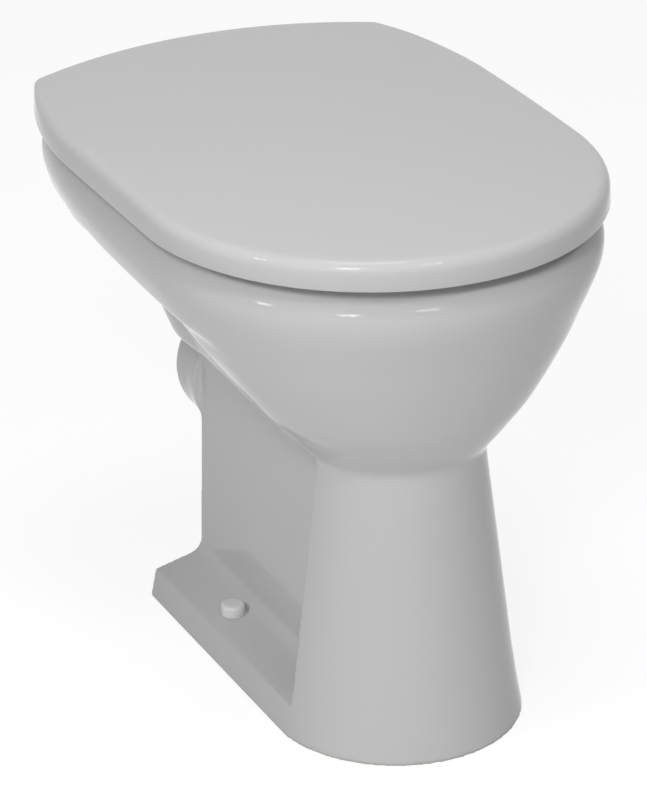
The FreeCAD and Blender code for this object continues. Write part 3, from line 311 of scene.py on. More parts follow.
@dataclass(frozen=True)
class Glaze(Finish):
    """Glazed ceramic: even tone, slow waves in the glaze, and a darker, browner, rougher band along the
    bottom edge where it stands.
    """

    tone_scale: float = 5.0
    roughness_scale: float = 24.0
    strength: float = 0.6
    # Colour, darkening, roughness and height of the darker band along the bottom edge.
    bare_colour: Colour = (0.56, 0.54, 0.50)
    bare_dark: float = 0.86
    bare_roughness: float = 0.75
    bare_height: float = 0.0022
    bare_blend: float = 0.0012
    bare_wander: float = 0.002
    wander_scale: float = 70.0
    speckle_scale: float = 420.0
    speckle_share: float = 0.05
    wave: float = 0.0006
    wave_scale: float = 11.0
    peel_scale: float = 260.0
    peel_share: float = 0.012

    def dress(self, shade: Shade) -> None:
        """Lay the glaze, its waves and the darker, rougher band along the bottom edge.

        Args:
            shade: The material's nodes.
        """
        dark, light = self.tones()
        glazed = shade.mix(shade.noise(self.tone_scale, detail=1.0), dark, light)
        # Up to about 2 mm above the floor, with a wandering border, the colour turns darker, browner and
        # speckled, and the surface rougher.
        rise = shade.height() + self.bare_wander * (shade.noise(self.wander_scale) - 0.5)
        above_foot_band = rise.step(self.bare_height - self.bare_blend, self.bare_height + self.bare_blend)
        speckle = shade.noise(self.speckle_scale, detail=4.0)
        bare_dark = tuple(self.bare_dark * part for part in self.bare_colour)
        foot_band = shade.mix(speckle, bare_dark, self.bare_colour)
        shade.feed(shade.shader, "Base Color", shade.mix(above_foot_band, foot_band, glazed))
        gloss = self.roughness + self.roughness_change * (shade.noise(self.roughness_scale) - 0.5)
        shade.feed(shade.shader, "Roughness", gloss * above_foot_band + self.bare_roughness * (1 - above_foot_band))
        slow = shade.noise(self.wave_scale, detail=0.0)
        peel = self.peel_share * shade.noise(self.peel_scale, detail=1.0) * above_foot_band
        grit = self.speckle_share * speckle * (1 - above_foot_band)
        shade.bump(slow + peel + grit, self.wave, self.strength)


@dataclass(frozen=True)
class TurnedSteel(Finish):
    """Steel with fine turning marks round the X axis."""

    strength: float = 0.4
    mark_scale: float = 30.0

    def dress(self, shade: Shade) -> None:
        """Lay the turning marks.

        Args:
            shade: The material's nodes.
        """
        dark, light = self.tones()
        marks = shade.noise(1.0, stretch=(self.grain, self.mark_scale, self.mark_scale))
        shade.feed(shade.shader, "Base Color", shade.mix(marks, dark, light))
        shade.feed(shade.shader, "Roughness", self.roughness + self.roughness_change * (marks - 0.5))
        shade.bump(marks, self.relief, self.strength)


WHITE = (0.60, 0.60, 0.60)
GLAZE = Glaze(
    "pan_glaze", "glaze", WHITE, tone=0.012, roughness=0.07, roughness_change=0.02, specular=0.1
)
LID_GLOSS = Finish(
    "lid_gloss", "lid_plastic", WHITE, tone=0.01, roughness=0.08, roughness_change=0.02, specular=0.12
)
SEAT_GLOSS = Finish(
    "seat_gloss", "seat_plastic", WHITE, tone=0.01, roughness=0.22, roughness_change=0.05
)
HINGE_SATIN = Finish("hinge_satin", "hinge_plastic", (0.58, 0.58, 0.58), roughness=0.38, grain=900.0)
PAD_SOFT = Finish("pad_soft", "soft_pad", (0.45, 0.45, 0.44), tone=0.06, roughness=0.7, relief=0.0001)
PIN_STEEL = TurnedSteel(
    "pin_steel", "steel", (0.62, 0.62, 0.63), tone=0.08, roughness=0.28, grain=2600.0, metallic=1.0
)
NYLON = Finish("nylon_natural", "nylon", (0.60, 0.59, 0.55), tone=0.05, roughness=0.45)
BOLT_NYLON = Finish("bolt_nylon", "bolt_plastic", (0.57, 0.57, 0.56), tone=0.05, roughness=0.42)
CAP_GLOSS = Finish("cap_gloss", "cap_plastic", (0.80, 0.80, 0.79), tone=0.01, roughness=0.2)
BUFFER_RUBBER = Finish(
    "buffer_rubber", "buffer_rubber", (0.52, 0.52, 0.51), tone=0.06, roughness=0.6, relief=0.0001
)


def add_object(name: str, data: ID) -> Object:
    """Put a mesh, lamp or camera into the scene.

    Args:
        name: The object's name.
        data: Its data; a mesh is in the CAD's frame.

    Returns:
        The new object.
    """
    made = bpy.data.objects.new(name, data)
    bpy.context.collection.objects.link(made)
    return made


def add_work(name: str, work: BMesh) -> Object:
    """Put a mesh under work into the scene as a piece; the work is freed.

    Args:
        name: The piece's name.
        work: The mesh under work.

    Returns:
        The new object.
    """
    mesh = bpy.data.meshes.new(name)
    work.to_mesh(mesh)
    work.free()
    return add_object(name, mesh)


def discard(piece: Object) -> None:
    """Remove a piece that is used up, and its mesh.

    Args:
        piece: The object.
    """
    mesh = piece.data
    bpy.data.objects.remove(piece)
    bpy.data.meshes.remove(mesh)


def settle(piece: Object) -> None:
    """Turn a piece's modifiers into plain mesh.

    Args:
        piece: The object; its modifiers are removed.
    """
    seen = piece.evaluated_get(bpy.context.evaluated_depsgraph_get())
    mesh = bpy.data.meshes.new_from_object(seen)
    old = piece.data
    piece.modifiers.clear()
    piece.data = mesh
    mesh.name = piece.name
    bpy.data.meshes.remove(old)


def merged_copy(node: str, name: str) -> Object:
    """Copy a CAD node's mesh with its loose triangles joined.

    Args:
        node: The CAD node.
        name: Name of the copy.

    Returns:
        The new object.
    """
    work = bmesh.new()
    work.from_mesh(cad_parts[node].data)
    bmesh.ops.remove_doubles(work, verts=work.verts, dist=WELD)
    return add_work(name, work)


def combine(base: Object, tool: Object, operation: str) -> None:
    """Boolean of two pieces; the tool is used up.

    Args:
        base: The piece that is changed.
        tool: The other piece.
        operation: UNION or DIFFERENCE.
    """
    step = base.modifiers.new("combine", "BOOLEAN")
    step.operation = operation
    step.solver = "EXACT"
    step.object = tool
    settle(base)
    discard(tool)


def join(base: Object, other: Object, lift: float = 0.0) -> None:
    """Add another piece's mesh to a piece; the other is used up.

    Args:
        base: The piece that grows.
        other: The piece that is added.
        lift: How far it is raised.
    """
    work = bmesh.new()
    work.from_mesh(base.data)
    count = len(work.verts)
    work.from_mesh(other.data)
    work.verts.ensure_lookup_table()
    for vert in work.verts[count:]:
        vert.co.z += lift
    work.to_mesh(base.data)
    work.free()
    discard(other)


def skin(name: str, rings: Sequence[Sequence[Vector]], loop: bool = False) -> Object:
    """A closed piece through rings of points.

    Args:
        name: The piece's name.
        rings: Closed rings with the same number of points each.
        loop: True if the last ring joins the first; otherwise both ends are filled.

    Returns:
        The new object.
    """
    work = bmesh.new()
    rows = [[work.verts.new(point) for point in ring] for ring in rings]
    pairs = list(zip(rows, rows[1:]))
    if loop:
        pairs.append((rows[-1], rows[0]))
    count = len(rows[0])
    for low, high in pairs:
        for index in range(count):
            after = (index + 1) % count
            work.faces.new((low[index], low[after], high[after], high[index]))
    if not loop:
        work.faces.new(rows[0])
        work.faces.new(rows[-1])
    bmesh.ops.recalc_face_normals(work, faces=work.faces)
    return add_work(name, work)


def ease(piece: Object, edge: float, segments: int = 2) -> None:
    """Round a piece's sharp edges.

    Args:
        piece: The object.
        edge: Radius of the rounding.
        segments: Faces across the rounding.
    """
    step = piece.modifiers.new("ease", "BEVEL")
    step.width = edge
    step.segments = segments
    step.limit_method = "ANGLE"
    step.angle_limit = math.radians(EASE_ANGLE)
    settle(piece)


def block(name: str, low: Spot, high: Spot) -> Object:
    """A block with sharp edges.

    Args:
        name: The piece's name.
        low: Lowest corner.
        high: Highest corner.

    Returns:
        The new object.
    """
    corners = [(low[0], low[1]), (high[0], low[1]), (high[0], high[1]), (low[0], high[1])]
    return skin(name, [[Vector((x, y, z)) for x, y in corners] for z in (low[2], high[2])])


def upright(along: float, across: float, over: float) -> Vector:
    """Placing for a turned piece that stands upright at the origin."""
    return Vector((across, over, along))


def lathe(name: str, profile: Sequence[Range], count: int, place: Placing = upright) -> Object:
    """A turned piece.

    Args:
        name: The piece's name.
        profile: Radius and distance along the axis, from one flat end to the other.
        count: Points round the axis.
        place: Gives a point from distance along the axis and two offsets across it.

    Returns:
        The new object.
    """
    turns = [2 * math.pi * index / count for index in range(count)]
    rings = [
        [place(along, radius * math.cos(turn), radius * math.sin(turn)) for turn in turns]
        for radius, along in profile
    ]
    return skin(name, rings)


def rounding(degrees: float, steps: int) -> list[Range]:
    """A rounding of radius 1, from the side up to the top.

    Args:
        degrees: How far it turns.
        steps: Faces along it.

    Returns:
        Inset from the side and drop below the top.
    """
    turns = [math.radians(degrees * step / steps) for step in range(steps + 1)]
    return [(1 - math.cos(turn), 1 - math.sin(turn)) for turn in turns]


def foot_rounding(low: float, edge: float) -> list[Range]:
    """Inset and height of a small rounded foot, from its underside up to its side."""
    return [(edge, low), (CORNER_MIDDLE * edge, low + CORNER_MIDDLE * edge), (0.0, low + edge)]


def finish_piece(
    piece: Object, finish: Finish, body: Body, nodes: Sequence[str], crease: float = FITTING_CREASE
) -> None:
    """Shade a piece, hang it on its body and hide the CAD nodes that it stands for.

    Args:
        piece: The object.
        finish: Its surface.
        body: The body that it rides on.
        nodes: CAD nodes that it replaces.
        crease: Angle above which an edge stays sharp, in degrees.
    """
    piece.data.shade_smooth()
    piece.data.set_sharp_from_angle(angle=math.radians(crease))
    piece.data.materials.clear()
    piece.data.materials.append(finish.material())
    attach(piece, body.value)
    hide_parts(*nodes)
    LOG.info("%s: %d faces on %s", piece.name, len(piece.data.polygons), body.value)


def dress_pairs(finishes: dict[str, Finish]) -> None:
    """Give CAD nodes on both sides their surfaces.

    Args:
        finishes: Surface of each pair, by the start of the nodes' names.
    """
    for base, finish in finishes.items():
        for side in Side:
            node = f"{base}_{side.word}"
            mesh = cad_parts[node].data
            mesh.materials.clear()
            mesh.materials.append(finish.material())
            LOG.info("%s: %s", node, finish.name)


@dataclass(frozen=True)
class EdgePoint:
    """A point of an outline with its outward direction."""

    x: float
    y: float
    out_x: float
    out_y: float

    def inward(self, inset: float) -> Range:
        """The point moved inwards by an inset."""
        return self.x - self.out_x * inset, self.y - self.out_y * inset

    def mirrored(self) -> "EdgePoint":
        """The same point on the other side."""
        return EdgePoint(-self.x, self.y, -self.out_x, self.out_y)


def outline_ring(points: Sequence[EdgePoint], inset: float, height: float) -> list[Vector]:
    """An outline moved inwards, at one height."""
    return [Vector((*point.inward(inset), height)) for point in points]


@dataclass(frozen=True)
class DShape:
    """Outline of the lid or seat: round front, sides that close in, bowed rear."""

    half: float
    front: float
    side_end: float
    rear_half: float
    rear: float
    bow: float
    corner: float
    front_steps: int = 40
    side_steps: int = 14
    taper_steps: int = 18
    corner_steps: int = 10
    rear_steps: int = 20

    def points(self) -> list[EdgePoint]:
        """Points all round, from the front tip over the right side.

        Returns:
            The points of both sides.
        """
        inset = self.half - self.rear_half
        length = self.rear - self.side_end
        side_radius = (inset**2 + length**2) / (2 * inset)
        rear_radius = (self.rear_half**2 + self.bow**2) / (2 * self.bow)
        side_middle = Vector((self.half - side_radius, self.side_end))
        rear_middle = Vector((0.0, self.rear + self.bow - rear_radius))
        corner_middle = self.crossing(side_middle, side_radius, rear_middle, rear_radius)
        side_turn = math.atan2(*reversed(corner_middle - side_middle))
        rear_turn = math.atan2(*reversed(corner_middle - rear_middle))
        tip_middle = Vector((0.0, self.front + self.half))
        right = self.arc(tip_middle, self.half, -math.pi / 2, 0.0, self.front_steps)
        right += self.line(tip_middle.y, self.side_end, self.side_steps)
        right += self.arc(side_middle, side_radius, 0.0, side_turn, self.taper_steps)
        right += self.arc(corner_middle, self.corner, side_turn, rear_turn, self.corner_steps)
        right += self.arc(rear_middle, rear_radius, rear_turn, math.pi / 2, self.rear_steps)
        rear_point = EdgePoint(0.0, self.rear + self.bow, 0.0, 1.0)
        left = [point.mirrored() for point in reversed(right[1:])]
        return right + [rear_point] + left

    def crossing(self, first: Vector, first_radius: float, second: Vector, second_radius: float) -> Vector:
        """Middle of the corner's rounding.

        Args:
            first: Middle of the side's arc.
            first_radius: Its radius.
            second: Middle of the rear's arc.
            second_radius: Its radius.

        Returns:
            The point at the corner's radius inside both arcs.
        """
        near, far = first_radius - self.corner, second_radius - self.corner
        gap = second - first
        along = (near**2 - far**2 + gap.length**2) / (2 * gap.length)
        aside = math.sqrt(near**2 - along**2)
        line = gap.normalized()
        choices = [first + line * along + Vector((-line.y, line.x)) * aside * turn for turn in (1, -1)]
        return max(choices, key=lambda point: point.x + point.y)

    def arc(self, middle: Vector, radius: float, start: float, end: float, count: int) -> list[EdgePoint]:
        """Points along an arc, without its last one.

        Args:
            middle: The arc's middle.
            radius: Its radius.
            start: Angle of its first point.
            end: Angle where it ends.
            count: How many points.

        Returns:
            The points.
        """
        turns = [start + (end - start) * index / count for index in range(count)]
        ways = [(math.cos(turn), math.sin(turn)) for turn in turns]
        return [EdgePoint(middle.x + radius * x, middle.y + radius * y, x, y) for x, y in ways]

    def line(self, start: float, end: float, count: int) -> list[EdgePoint]:
        """Points along the straight side, without its last one."""
        steps = [start + (end - start) * index / count for index in range(count)]
        return [EdgePoint(self.half, step, 1.0, 0.0) for step in steps]


def soft_step(share: Union[float, np.ndarray]) -> Union[float, np.ndarray]:
    """A share from 0 to 1 with smooth ends."""
    return share * share * (3 - 2 * share)


def window(values: np.ndarray, borders: Borders) -> np.ndarray:
    """1 inside the borders and 0 outside, with smooth ramps.

    Args:
        values: Places along one axis.
        borders: Start, full, fade and end.

    Returns:
        A share for each value.
    """
    start, full, fade, end = borders
    rise = np.clip((values - start) / (full - start), 0.0, 1.0)
    fall = np.clip((end - values) / (end - fade), 0.0, 1.0)
    return soft_step(np.minimum(rise, fall))


@dataclass(frozen=True)
class SideMove:
    """A gentle push on both sides of the pan's outside, with soft borders.

    The borders are where the push starts, is full, begins to fade and ends.
    """

    along: Borders
    up: Borders
    shift: float

    def share(self, points: np.ndarray) -> np.ndarray:
        """How much of the push each point takes."""
        return window(points[:, 1], self.along) * window(points[:, 2], self.up)


@dataclass
class Pan:
    """The glazed pan: the parts of the casting in one skin, softened as glaze softens every edge."""

    parts: tuple[str, ...] = (
        "pan_rim",
        "pan_bowl",
        "pan_rear",
        "pan_outlet",
        "pan_column",
        "pan_web",
        "pan_foot",
    )
    voxel: float = 0.0014
    smoothing: float = 0.5
    edge_passes: int = 9
    bowl_passes: int = 110
    bowl_low: float = 0.206
    bowl_full: float = 0.246
    triangles: int = 185000
    crease: float = 180.0
    rim_low: float = 0.380
    rim_high: float = 0.399
    rim_tuck: float = 0.050
    tuck_along: Borders = (-0.5, -0.4, 0.100, 0.170)
    bulge: Borders = (0.335, 0.366, 0.378, 0.394)
    bulge_share: float = 0.010
    moves: tuple[SideMove, ...] = (
        SideMove((-0.150, -0.090, 0.000, 0.070), (0.232, 0.285, 0.328, 0.346), -0.007),
        SideMove((0.070, 0.105, 0.135, 0.155), (0.218, 0.238, 0.262, 0.286), 0.005),
    )

    def build(self) -> Object:
        """Join the parts in an even skin, let the bowl flow, and thin out the flat areas.

        Returns:
            The pan.
        """
        pan = merged_copy(self.parts[0], "pan_glazed")
        for part in self.parts[1:]:
            join(pan, merged_copy(part, part))
        even = pan.modifiers.new("even", "REMESH")
        even.mode = "VOXEL"
        even.voxel_size = self.voxel
        settle(pan)
        self.shape(pan)
        group = self.weigh(pan)
        for name, passes, weights in (("edges", self.edge_passes, ""), ("flow", self.bowl_passes, group)):
            soften = pan.modifiers.new(name, "SMOOTH")
            soften.factor = self.smoothing
            soften.iterations = passes
            soften.vertex_group = weights
        thin = pan.modifiers.new("thin", "DECIMATE")
        thin.ratio = min(1.0, self.triangles / (2 * len(pan.data.polygons)))
        settle(pan)
        pan.vertex_groups.clear()
        return pan

    def shape(self, pan: Object) -> None:
        """Fill the rim's side, draw its top in under the lid, and move the sides of the hull.

        Args:
            pan: The pan after its even remesh.
        """
        verts = pan.data.vertices
        points = np.empty(3 * len(verts), np.float32)
        normals = np.empty(3 * len(verts), np.float32)
        verts.foreach_get("co", points)
        verts.foreach_get("normal", normals)
        points, normals = points.reshape(-1, 3), normals.reshape(-1, 3)
        share = np.clip((points[:, 2] - self.rim_low) / (self.rim_high - self.rim_low), 0.0, 1.0)
        full = window(points[:, 2], self.bulge)
        tuck = self.rim_tuck * share**2 * window(points[:, 1], self.tuck_along)
        points[:, :2] *= (1 + self.bulge_share * full - tuck)[:, None]
        side = np.sign(points[:, 0])
        outside = normals[:, 0] * side > 0
        for move in self.moves:
            points[:, 0] += outside * side * move.shift * move.share(points)
        verts.foreach_set("co", points.ravel())
        pan.data.update()

    def weigh(self, pan: Object) -> str:
        """Mark how much of the second smoothing each point takes.

        Args:
            pan: The pan after its even remesh.

        Returns:
            Name of the vertex group.
        """
        group = pan.vertex_groups.new(name="bowl")
        for vert in pan.data.vertices:
            share = (vert.co.z - self.bowl_low) / (self.bowl_full - self.bowl_low)
            if share > 0:
                group.add([vert.index], min(1.0, share), "REPLACE")
        return group.name

    def dress(self) -> None:
        """Build the pan and glaze it."""
        finish_piece(self.build(), GLAZE, Body.PAN, self.parts, self.crease)


@dataclass
class Hinge:
    """Sizes along the hinge line, and the lugs that turn on it."""

    y: float = 0.222
    z: float = 0.413
    lug_radius: float = 0.0085
    seat_lug: Range = (0.052, 0.064)
    lid_lug: Range = (0.091, 0.103)
    bush_hole: float = 0.00557
    bore_past: float = 0.002
    round_points: int = 40

    def span(self, side: Side, distances: Range) -> Range:
        """Lowest and highest X of two distances on one side."""
        ends = [side.value * distance for distance in distances]
        return min(ends), max(ends)

    def along(self, along: float, across: float, over: float) -> Vector:
        """A point from its X and two offsets from the hinge line."""
        return Vector((along, self.y + across, self.z + over))

    def barrel(self, name: str, side: Side, distances: Range, radius: float) -> Object:
        """A cylinder on the hinge line.

        Args:
            name: The piece's name.
            side: Side of the toilet.
            distances: Its ends' distances from the middle.
            radius: Its radius.

        Returns:
            The new object.
        """
        low, high = self.span(side, distances)
        return lathe(name, [(radius, low), (radius, high)], self.round_points, self.along)

    def add_lug(self, base: Object, side: Side, distances: Range, reach: Range, up: Range) -> None:
        """Add an arm with a bored lug to a moulding.

        Args:
            base: The moulding.
            side: Side of the toilet.
            distances: The lug's ends, as distances from the middle.
            reach: Front and rear of the arm.
            up: Underside and top of the arm.
        """
        low, high = self.span(side, distances)
        arm = block("arm", (low, reach[0], up[0]), (high, reach[1], up[1]))
        combine(arm, self.barrel("lug", side, distances, self.lug_radius), "UNION")
        bore = (distances[0] - self.bore_past, distances[1] + self.bore_past)
        combine(arm, self.barrel("bore", side, bore, self.bush_hole), "DIFFERENCE")
        combine(base, arm, "UNION")


@dataclass
class Lid:
    """The lid: crowned plate, rounded edge and skirt with two notches for the hinges."""

    hinge: Hinge
    bottom: float = 0.406
    top: float = 0.436
    ceiling: float = 0.4235
    wall: float = 0.0045
    draft: float = 0.0006
    edge: float = 0.0085
    edge_drop: float = 0.0100
    edge_turn: float = 86.0
    edge_steps: int = 8
    rear_sharp: Range = (0.12, 0.20)
    rear_edge: float = 0.5
    lip: float = 0.0012
    inner_corner: float = 0.003
    inner_middle: float = 0.29
    across: float = 2.029
    along: float = 3.817
    crown_scales: tuple[float, ...] = (0.97, 0.92, 0.85, 0.75, 0.6, 0.45, 0.3, 0.15, 0.05)
    shape: DShape = DShape(0.180, -0.2475, 0.080, 0.1496, 0.2188, 0.0285, 0.012)
    notch: Range = (0.048, 0.107)
    notch_front: float = 0.004
    notch_rear: float = 0.05
    notch_below: float = 0.01
    notch_edge: float = 0.0015
    notch_segments: int = 3
    arm_sink: float = 0.001
    crease: float = 34.0

    def crown(self, x: float, y: float) -> float:
        """Height of the crowned top at a spot."""
        radius = self.across - self.along + math.sqrt(self.along**2 - y**2)
        return self.top - self.across + math.sqrt(radius**2 - x**2)

    def build(self) -> Object:
        """Lay rings from the ceiling round the skirt and edge to the crown, then add the hinges.

        Returns:
            The lid.
        """
        points = self.shape.points()
        rings = [outline_ring(points, inset, height) for inset, height in self.underside()]
        shares = [self.edge_share(point) for point in points]
        inner = [point.inward(self.draft + self.edge * share) for point, share in zip(points, shares)]
        tops = [self.crown(*spot) for spot in inner]
        for across, down in rounding(self.edge_turn, self.edge_steps):
            inset, drop = self.edge * across, self.edge_drop * down
            rings.append(
                [
                    Vector((*point.inward(self.draft + inset * share), height - drop * share))
                    for point, share, height in zip(points, shares, tops)
                ]
            )
        for scale in self.crown_scales:
            flat = [(x * scale, y * scale) for x, y in inner]
            rings.append([Vector((x, y, self.crown(x, y))) for x, y in flat])
        lid = skin("lid_moulded", rings)
        for side in Side:
            self.add_hinge(lid, side)
        return lid

    def edge_share(self, point: EdgePoint) -> float:
        """Share of the edge's rounding at a point: the rear is sharper.

        Args:
            point: A point of the outline.

        Returns:
            1 at the front and the sides, less towards the rear.
        """
        start, end = self.rear_sharp
        way = min(1.0, max(0.0, (point.y - start) / (end - start)))
        return 1 - (1 - self.rear_edge) * soft_step(way)

    def underside(self) -> list[Range]:
        """Rings from the ceiling to the foot of the skirt's outside.

        Returns:
            Inset and height of each ring.
        """
        wall, ceiling, corner = self.wall, self.ceiling, self.inner_corner
        middle = self.inner_middle * corner
        inside = [(wall + corner, ceiling), (wall + middle, ceiling - middle), (wall, ceiling - corner)]
        foot = foot_rounding(self.bottom, self.lip)
        return inside + [(wall - inset, height) for inset, height in reversed(foot)] + foot

    def add_hinge(self, lid: Object, side: Side) -> None:
        """Cut the notch and add the lug of one hinge.

        Args:
            lid: The lid.
            side: Side of the toilet.
        """
        hinge = self.hinge
        low, high = hinge.span(side, self.notch)
        cutter = block(
            "notch",
            (low, hinge.y + self.notch_front, self.bottom - self.notch_below),
            (high, hinge.y + self.notch_rear, self.ceiling),
        )
        ease(cutter, self.notch_edge, self.notch_segments)
        combine(lid, cutter, "DIFFERENCE")
        reach = (hinge.y - hinge.lug_radius, hinge.y + hinge.lug_radius)
        hinge.add_lug(lid, side, hinge.lid_lug, reach, (hinge.z, self.ceiling + self.arm_sink))

    def dress(self) -> None:
        """Build the lid and give it its gloss."""
        finish_piece(self.build(), LID_GLOSS, Body.LID, ["lid"], self.crease)


@dataclass
class SeatRing:
    """The seat ring: rounded outside, dished inside and arms to the hinge."""

    hinge: Hinge
    bottom: float = 0.406
    top: float = 0.4195
    outer: DShape = DShape(0.172, -0.2395, 0.060, 0.158, 0.150, 0.003, 0.022)
    inner: DShape = DShape(0.106, -0.180, -0.060, 0.082, 0.080, 0.012, 0.042)
    outer_edge: float = 0.0055
    inner_edge: float = 0.0075
    edge_turn: float = 90.0
    edge_steps: int = 6
    foot_edge: float = 0.0015
    top_shares: tuple[float, ...] = (0.25, 0.5, 0.75)
    arm_front: float = 0.135
    arm_gap: float = 0.001
    crease: float = 34.0

    def build(self) -> Object:
        """Lay the rings round the ring's section, then add the arms.

        Returns:
            The seat ring.
        """
        outside, inside = self.outer.points(), self.inner.points()
        rings = [outline_ring(outside, *row) for row in self.edge_profile(self.outer_edge)]
        rings += [self.between(outside, inside, share) for share in self.top_shares]
        for inset, height in reversed(self.edge_profile(self.inner_edge)):
            rings.append(outline_ring(inside, -inset, height))
        seat = skin("seat_moulded", rings, loop=True)
        hinge = self.hinge
        up = (self.bottom + self.arm_gap, self.top - self.arm_gap)
        for side in Side:
            hinge.add_lug(seat, side, hinge.seat_lug, (self.arm_front, hinge.y), up)
        return seat

    def edge_profile(self, edge: float) -> list[Range]:
        """Rings from the underside up round one edge.

        Args:
            edge: Radius of the edge's rounding.

        Returns:
            Inset and height of each ring.
        """
        rows = foot_rounding(self.bottom, self.foot_edge)
        for across, down in rounding(self.edge_turn, self.edge_steps):
            rows.append((edge * across, self.top - edge * down))
        return rows

    def between(self, outside: list[EdgePoint], inside: list[EdgePoint], share: float) -> list[Vector]:
        """A ring of the flat top between both edges.

        Args:
            outside: The outer outline.
            inside: The opening's outline.
            share: How far towards the opening.

        Returns:
            The ring.
        """
        ring = []
        for far, near in zip(outside, inside):
            far_x, far_y = far.inward(self.outer_edge)
            near_x, near_y = near.inward(-self.inner_edge)
            x, y = far_x + (near_x - far_x) * share, far_y + (near_y - far_y) * share
            ring.append(Vector((x, y, self.top)))
        return ring

    def dress(self) -> None:
        """Build the seat ring and give it its gloss."""
        finish_piece(self.build(), SEAT_GLOSS, Body.SEAT, ["seat_ring"], self.crease)


class FittingTree(Nodes):
    """Geometry Nodes with named inputs, whose result is made real and given its surface."""

    def __init__(self, name: str, inputs: dict[str, str]) -> None:
        """Start the tree with its inputs.

        Args:
            name: The tree's name.
            inputs: Kind of each input by its name; one of them is Surface, a material.
        """
        super().__init__(bpy.data.node_groups.new(name, "GeometryNodeTree"))
        face = self.tree.interface
        self.inputs = {
            word: face.new_socket(word, in_out="INPUT", socket_type=f"NodeSocket{kind}").identifier
            for word, kind in inputs.items()
        }
        face.new_socket("Geometry", in_out="OUTPUT", socket_type="NodeSocketGeometry")
        self.source = self.node("NodeGroupInput", {}, {})

    def close(self, geometry: NodeSocket) -> None:
        """End the tree: instances made real, the surface set.

        Args:
            geometry: What the tree has made.
        """
        real = self.node("GeometryNodeRealizeInstances", {}, {"Geometry": geometry})
        sockets = {"Geometry": real.outputs["Geometry"], "Material": self.source.outputs["Surface"]}
        paint = self.node("GeometryNodeSetMaterial", {}, sockets)
        self.node("NodeGroupOutput", {}, {"Geometry": paint.outputs["Geometry"]})

    def run(self, piece: Object, values: dict[str, object]) -> None:
        """Run the tree on a piece and keep the result as plain mesh.

        Args:
            piece: The object.
            values: The tree's inputs by their names.
        """
        step = piece.modifiers.new("fitting", "NODES")
        step.node_group = self.tree
        for word, value in values.items():
            step[self.inputs[word]] = value
        settle(piece)


class RepeatTree(FittingTree):
    """Sets a fitting at each point of a mesh, turned by the point's own angle."""

    def __init__(self) -> None:
        """Build the tree."""
        inputs = {"Geometry": "Geometry", "Fitting": "Object", "Surface": "Material"}
        super().__init__("repeat_fittings", inputs)
        given = self.source.outputs
        fitting = self.node("GeometryNodeObjectInfo", {}, {"Object": given["Fitting"]})
        turn = self.node("GeometryNodeInputNamedAttribute", {}, {"Name": "turn"})
        angles = self.node("ShaderNodeCombineXYZ", {}, {"Z": turn.outputs["Attribute"]})
        sockets = {
            "Points": given["Geometry"],
            "Instance": fitting.outputs["Geometry"],
            "Rotation": angles.outputs["Vector"],
        }
        spread = self.node("GeometryNodeInstanceOnPoints", {}, sockets)
        self.close(spread.outputs["Instances"])

    def repeat(self, name: str, fitting: Object, places: Sequence[Spot], finish: Finish) -> Object:
        """Set a fitting at several places; the fitting is used up.

        Args:
            name: Name of the resulting piece.
            fitting: One fitting, standing at the origin at its real height.
            places: X, Y and turn of each place.
            finish: Its surface.

        Returns:
            One piece with all the fittings.
        """
        mesh = bpy.data.meshes.new(name)
        mesh.from_pydata([(x, y, 0.0) for x, y, _ in places], [], [])
        turns = mesh.attributes.new("turn", "FLOAT", "POINT")
        for row, (_, _, turn) in zip(turns.data, places):
            row.value = turn
        piece = add_object(name, mesh)
        self.run(piece, {"Fitting": fitting, "Surface": finish.material()})
        discard(fitting)
        return piece


class ThreadTree(FittingTree):
    """Winds a thread along an upright screw."""

    spiral_points: int = 18
    ridge_points: int = 5

    def __init__(self) -> None:
        """Build the tree."""
        sizes = {word: "Float" for word in ("Radius", "Length", "Turns", "Depth")}
        super().__init__("screw_thread", {**sizes, "Surface": "Material"})
        given = self.source.outputs
        sockets = {
            "Resolution": self.spiral_points,
            "Start Radius": given["Radius"],
            "End Radius": given["Radius"],
            "Height": given["Length"],
            "Rotations": given["Turns"],
        }
        spiral = self.node("GeometryNodeCurveSpiral", {}, sockets)
        sockets = {"Resolution": self.ridge_points, "Radius": given["Depth"]}
        ridge = self.node("GeometryNodeCurvePrimitiveCircle", {}, sockets)
        sockets = {
            "Curve": spiral.outputs["Curve"],
            "Profile Curve": ridge.outputs["Curve"],
            "Fill Caps": True,
        }
        sweep = self.node("GeometryNodeCurveToMesh", {}, sockets)
        self.close(sweep.outputs["Mesh"])

    def wind(self, name: str, sizes: dict[str, float], finish: Finish) -> Object:
        """Wind one thread from the floor's height upwards.

        Args:
            name: The piece's name.
            sizes: Radius, length, turns and depth.
            finish: Its surface.

        Returns:
            The thread at the origin.
        """
        piece = add_object(name, bpy.data.meshes.new(name))
        self.run(piece, {**sizes, "Surface": finish.material()})
        return piece


BufferPlaces = tuple[tuple[str, float, float, float], ...]


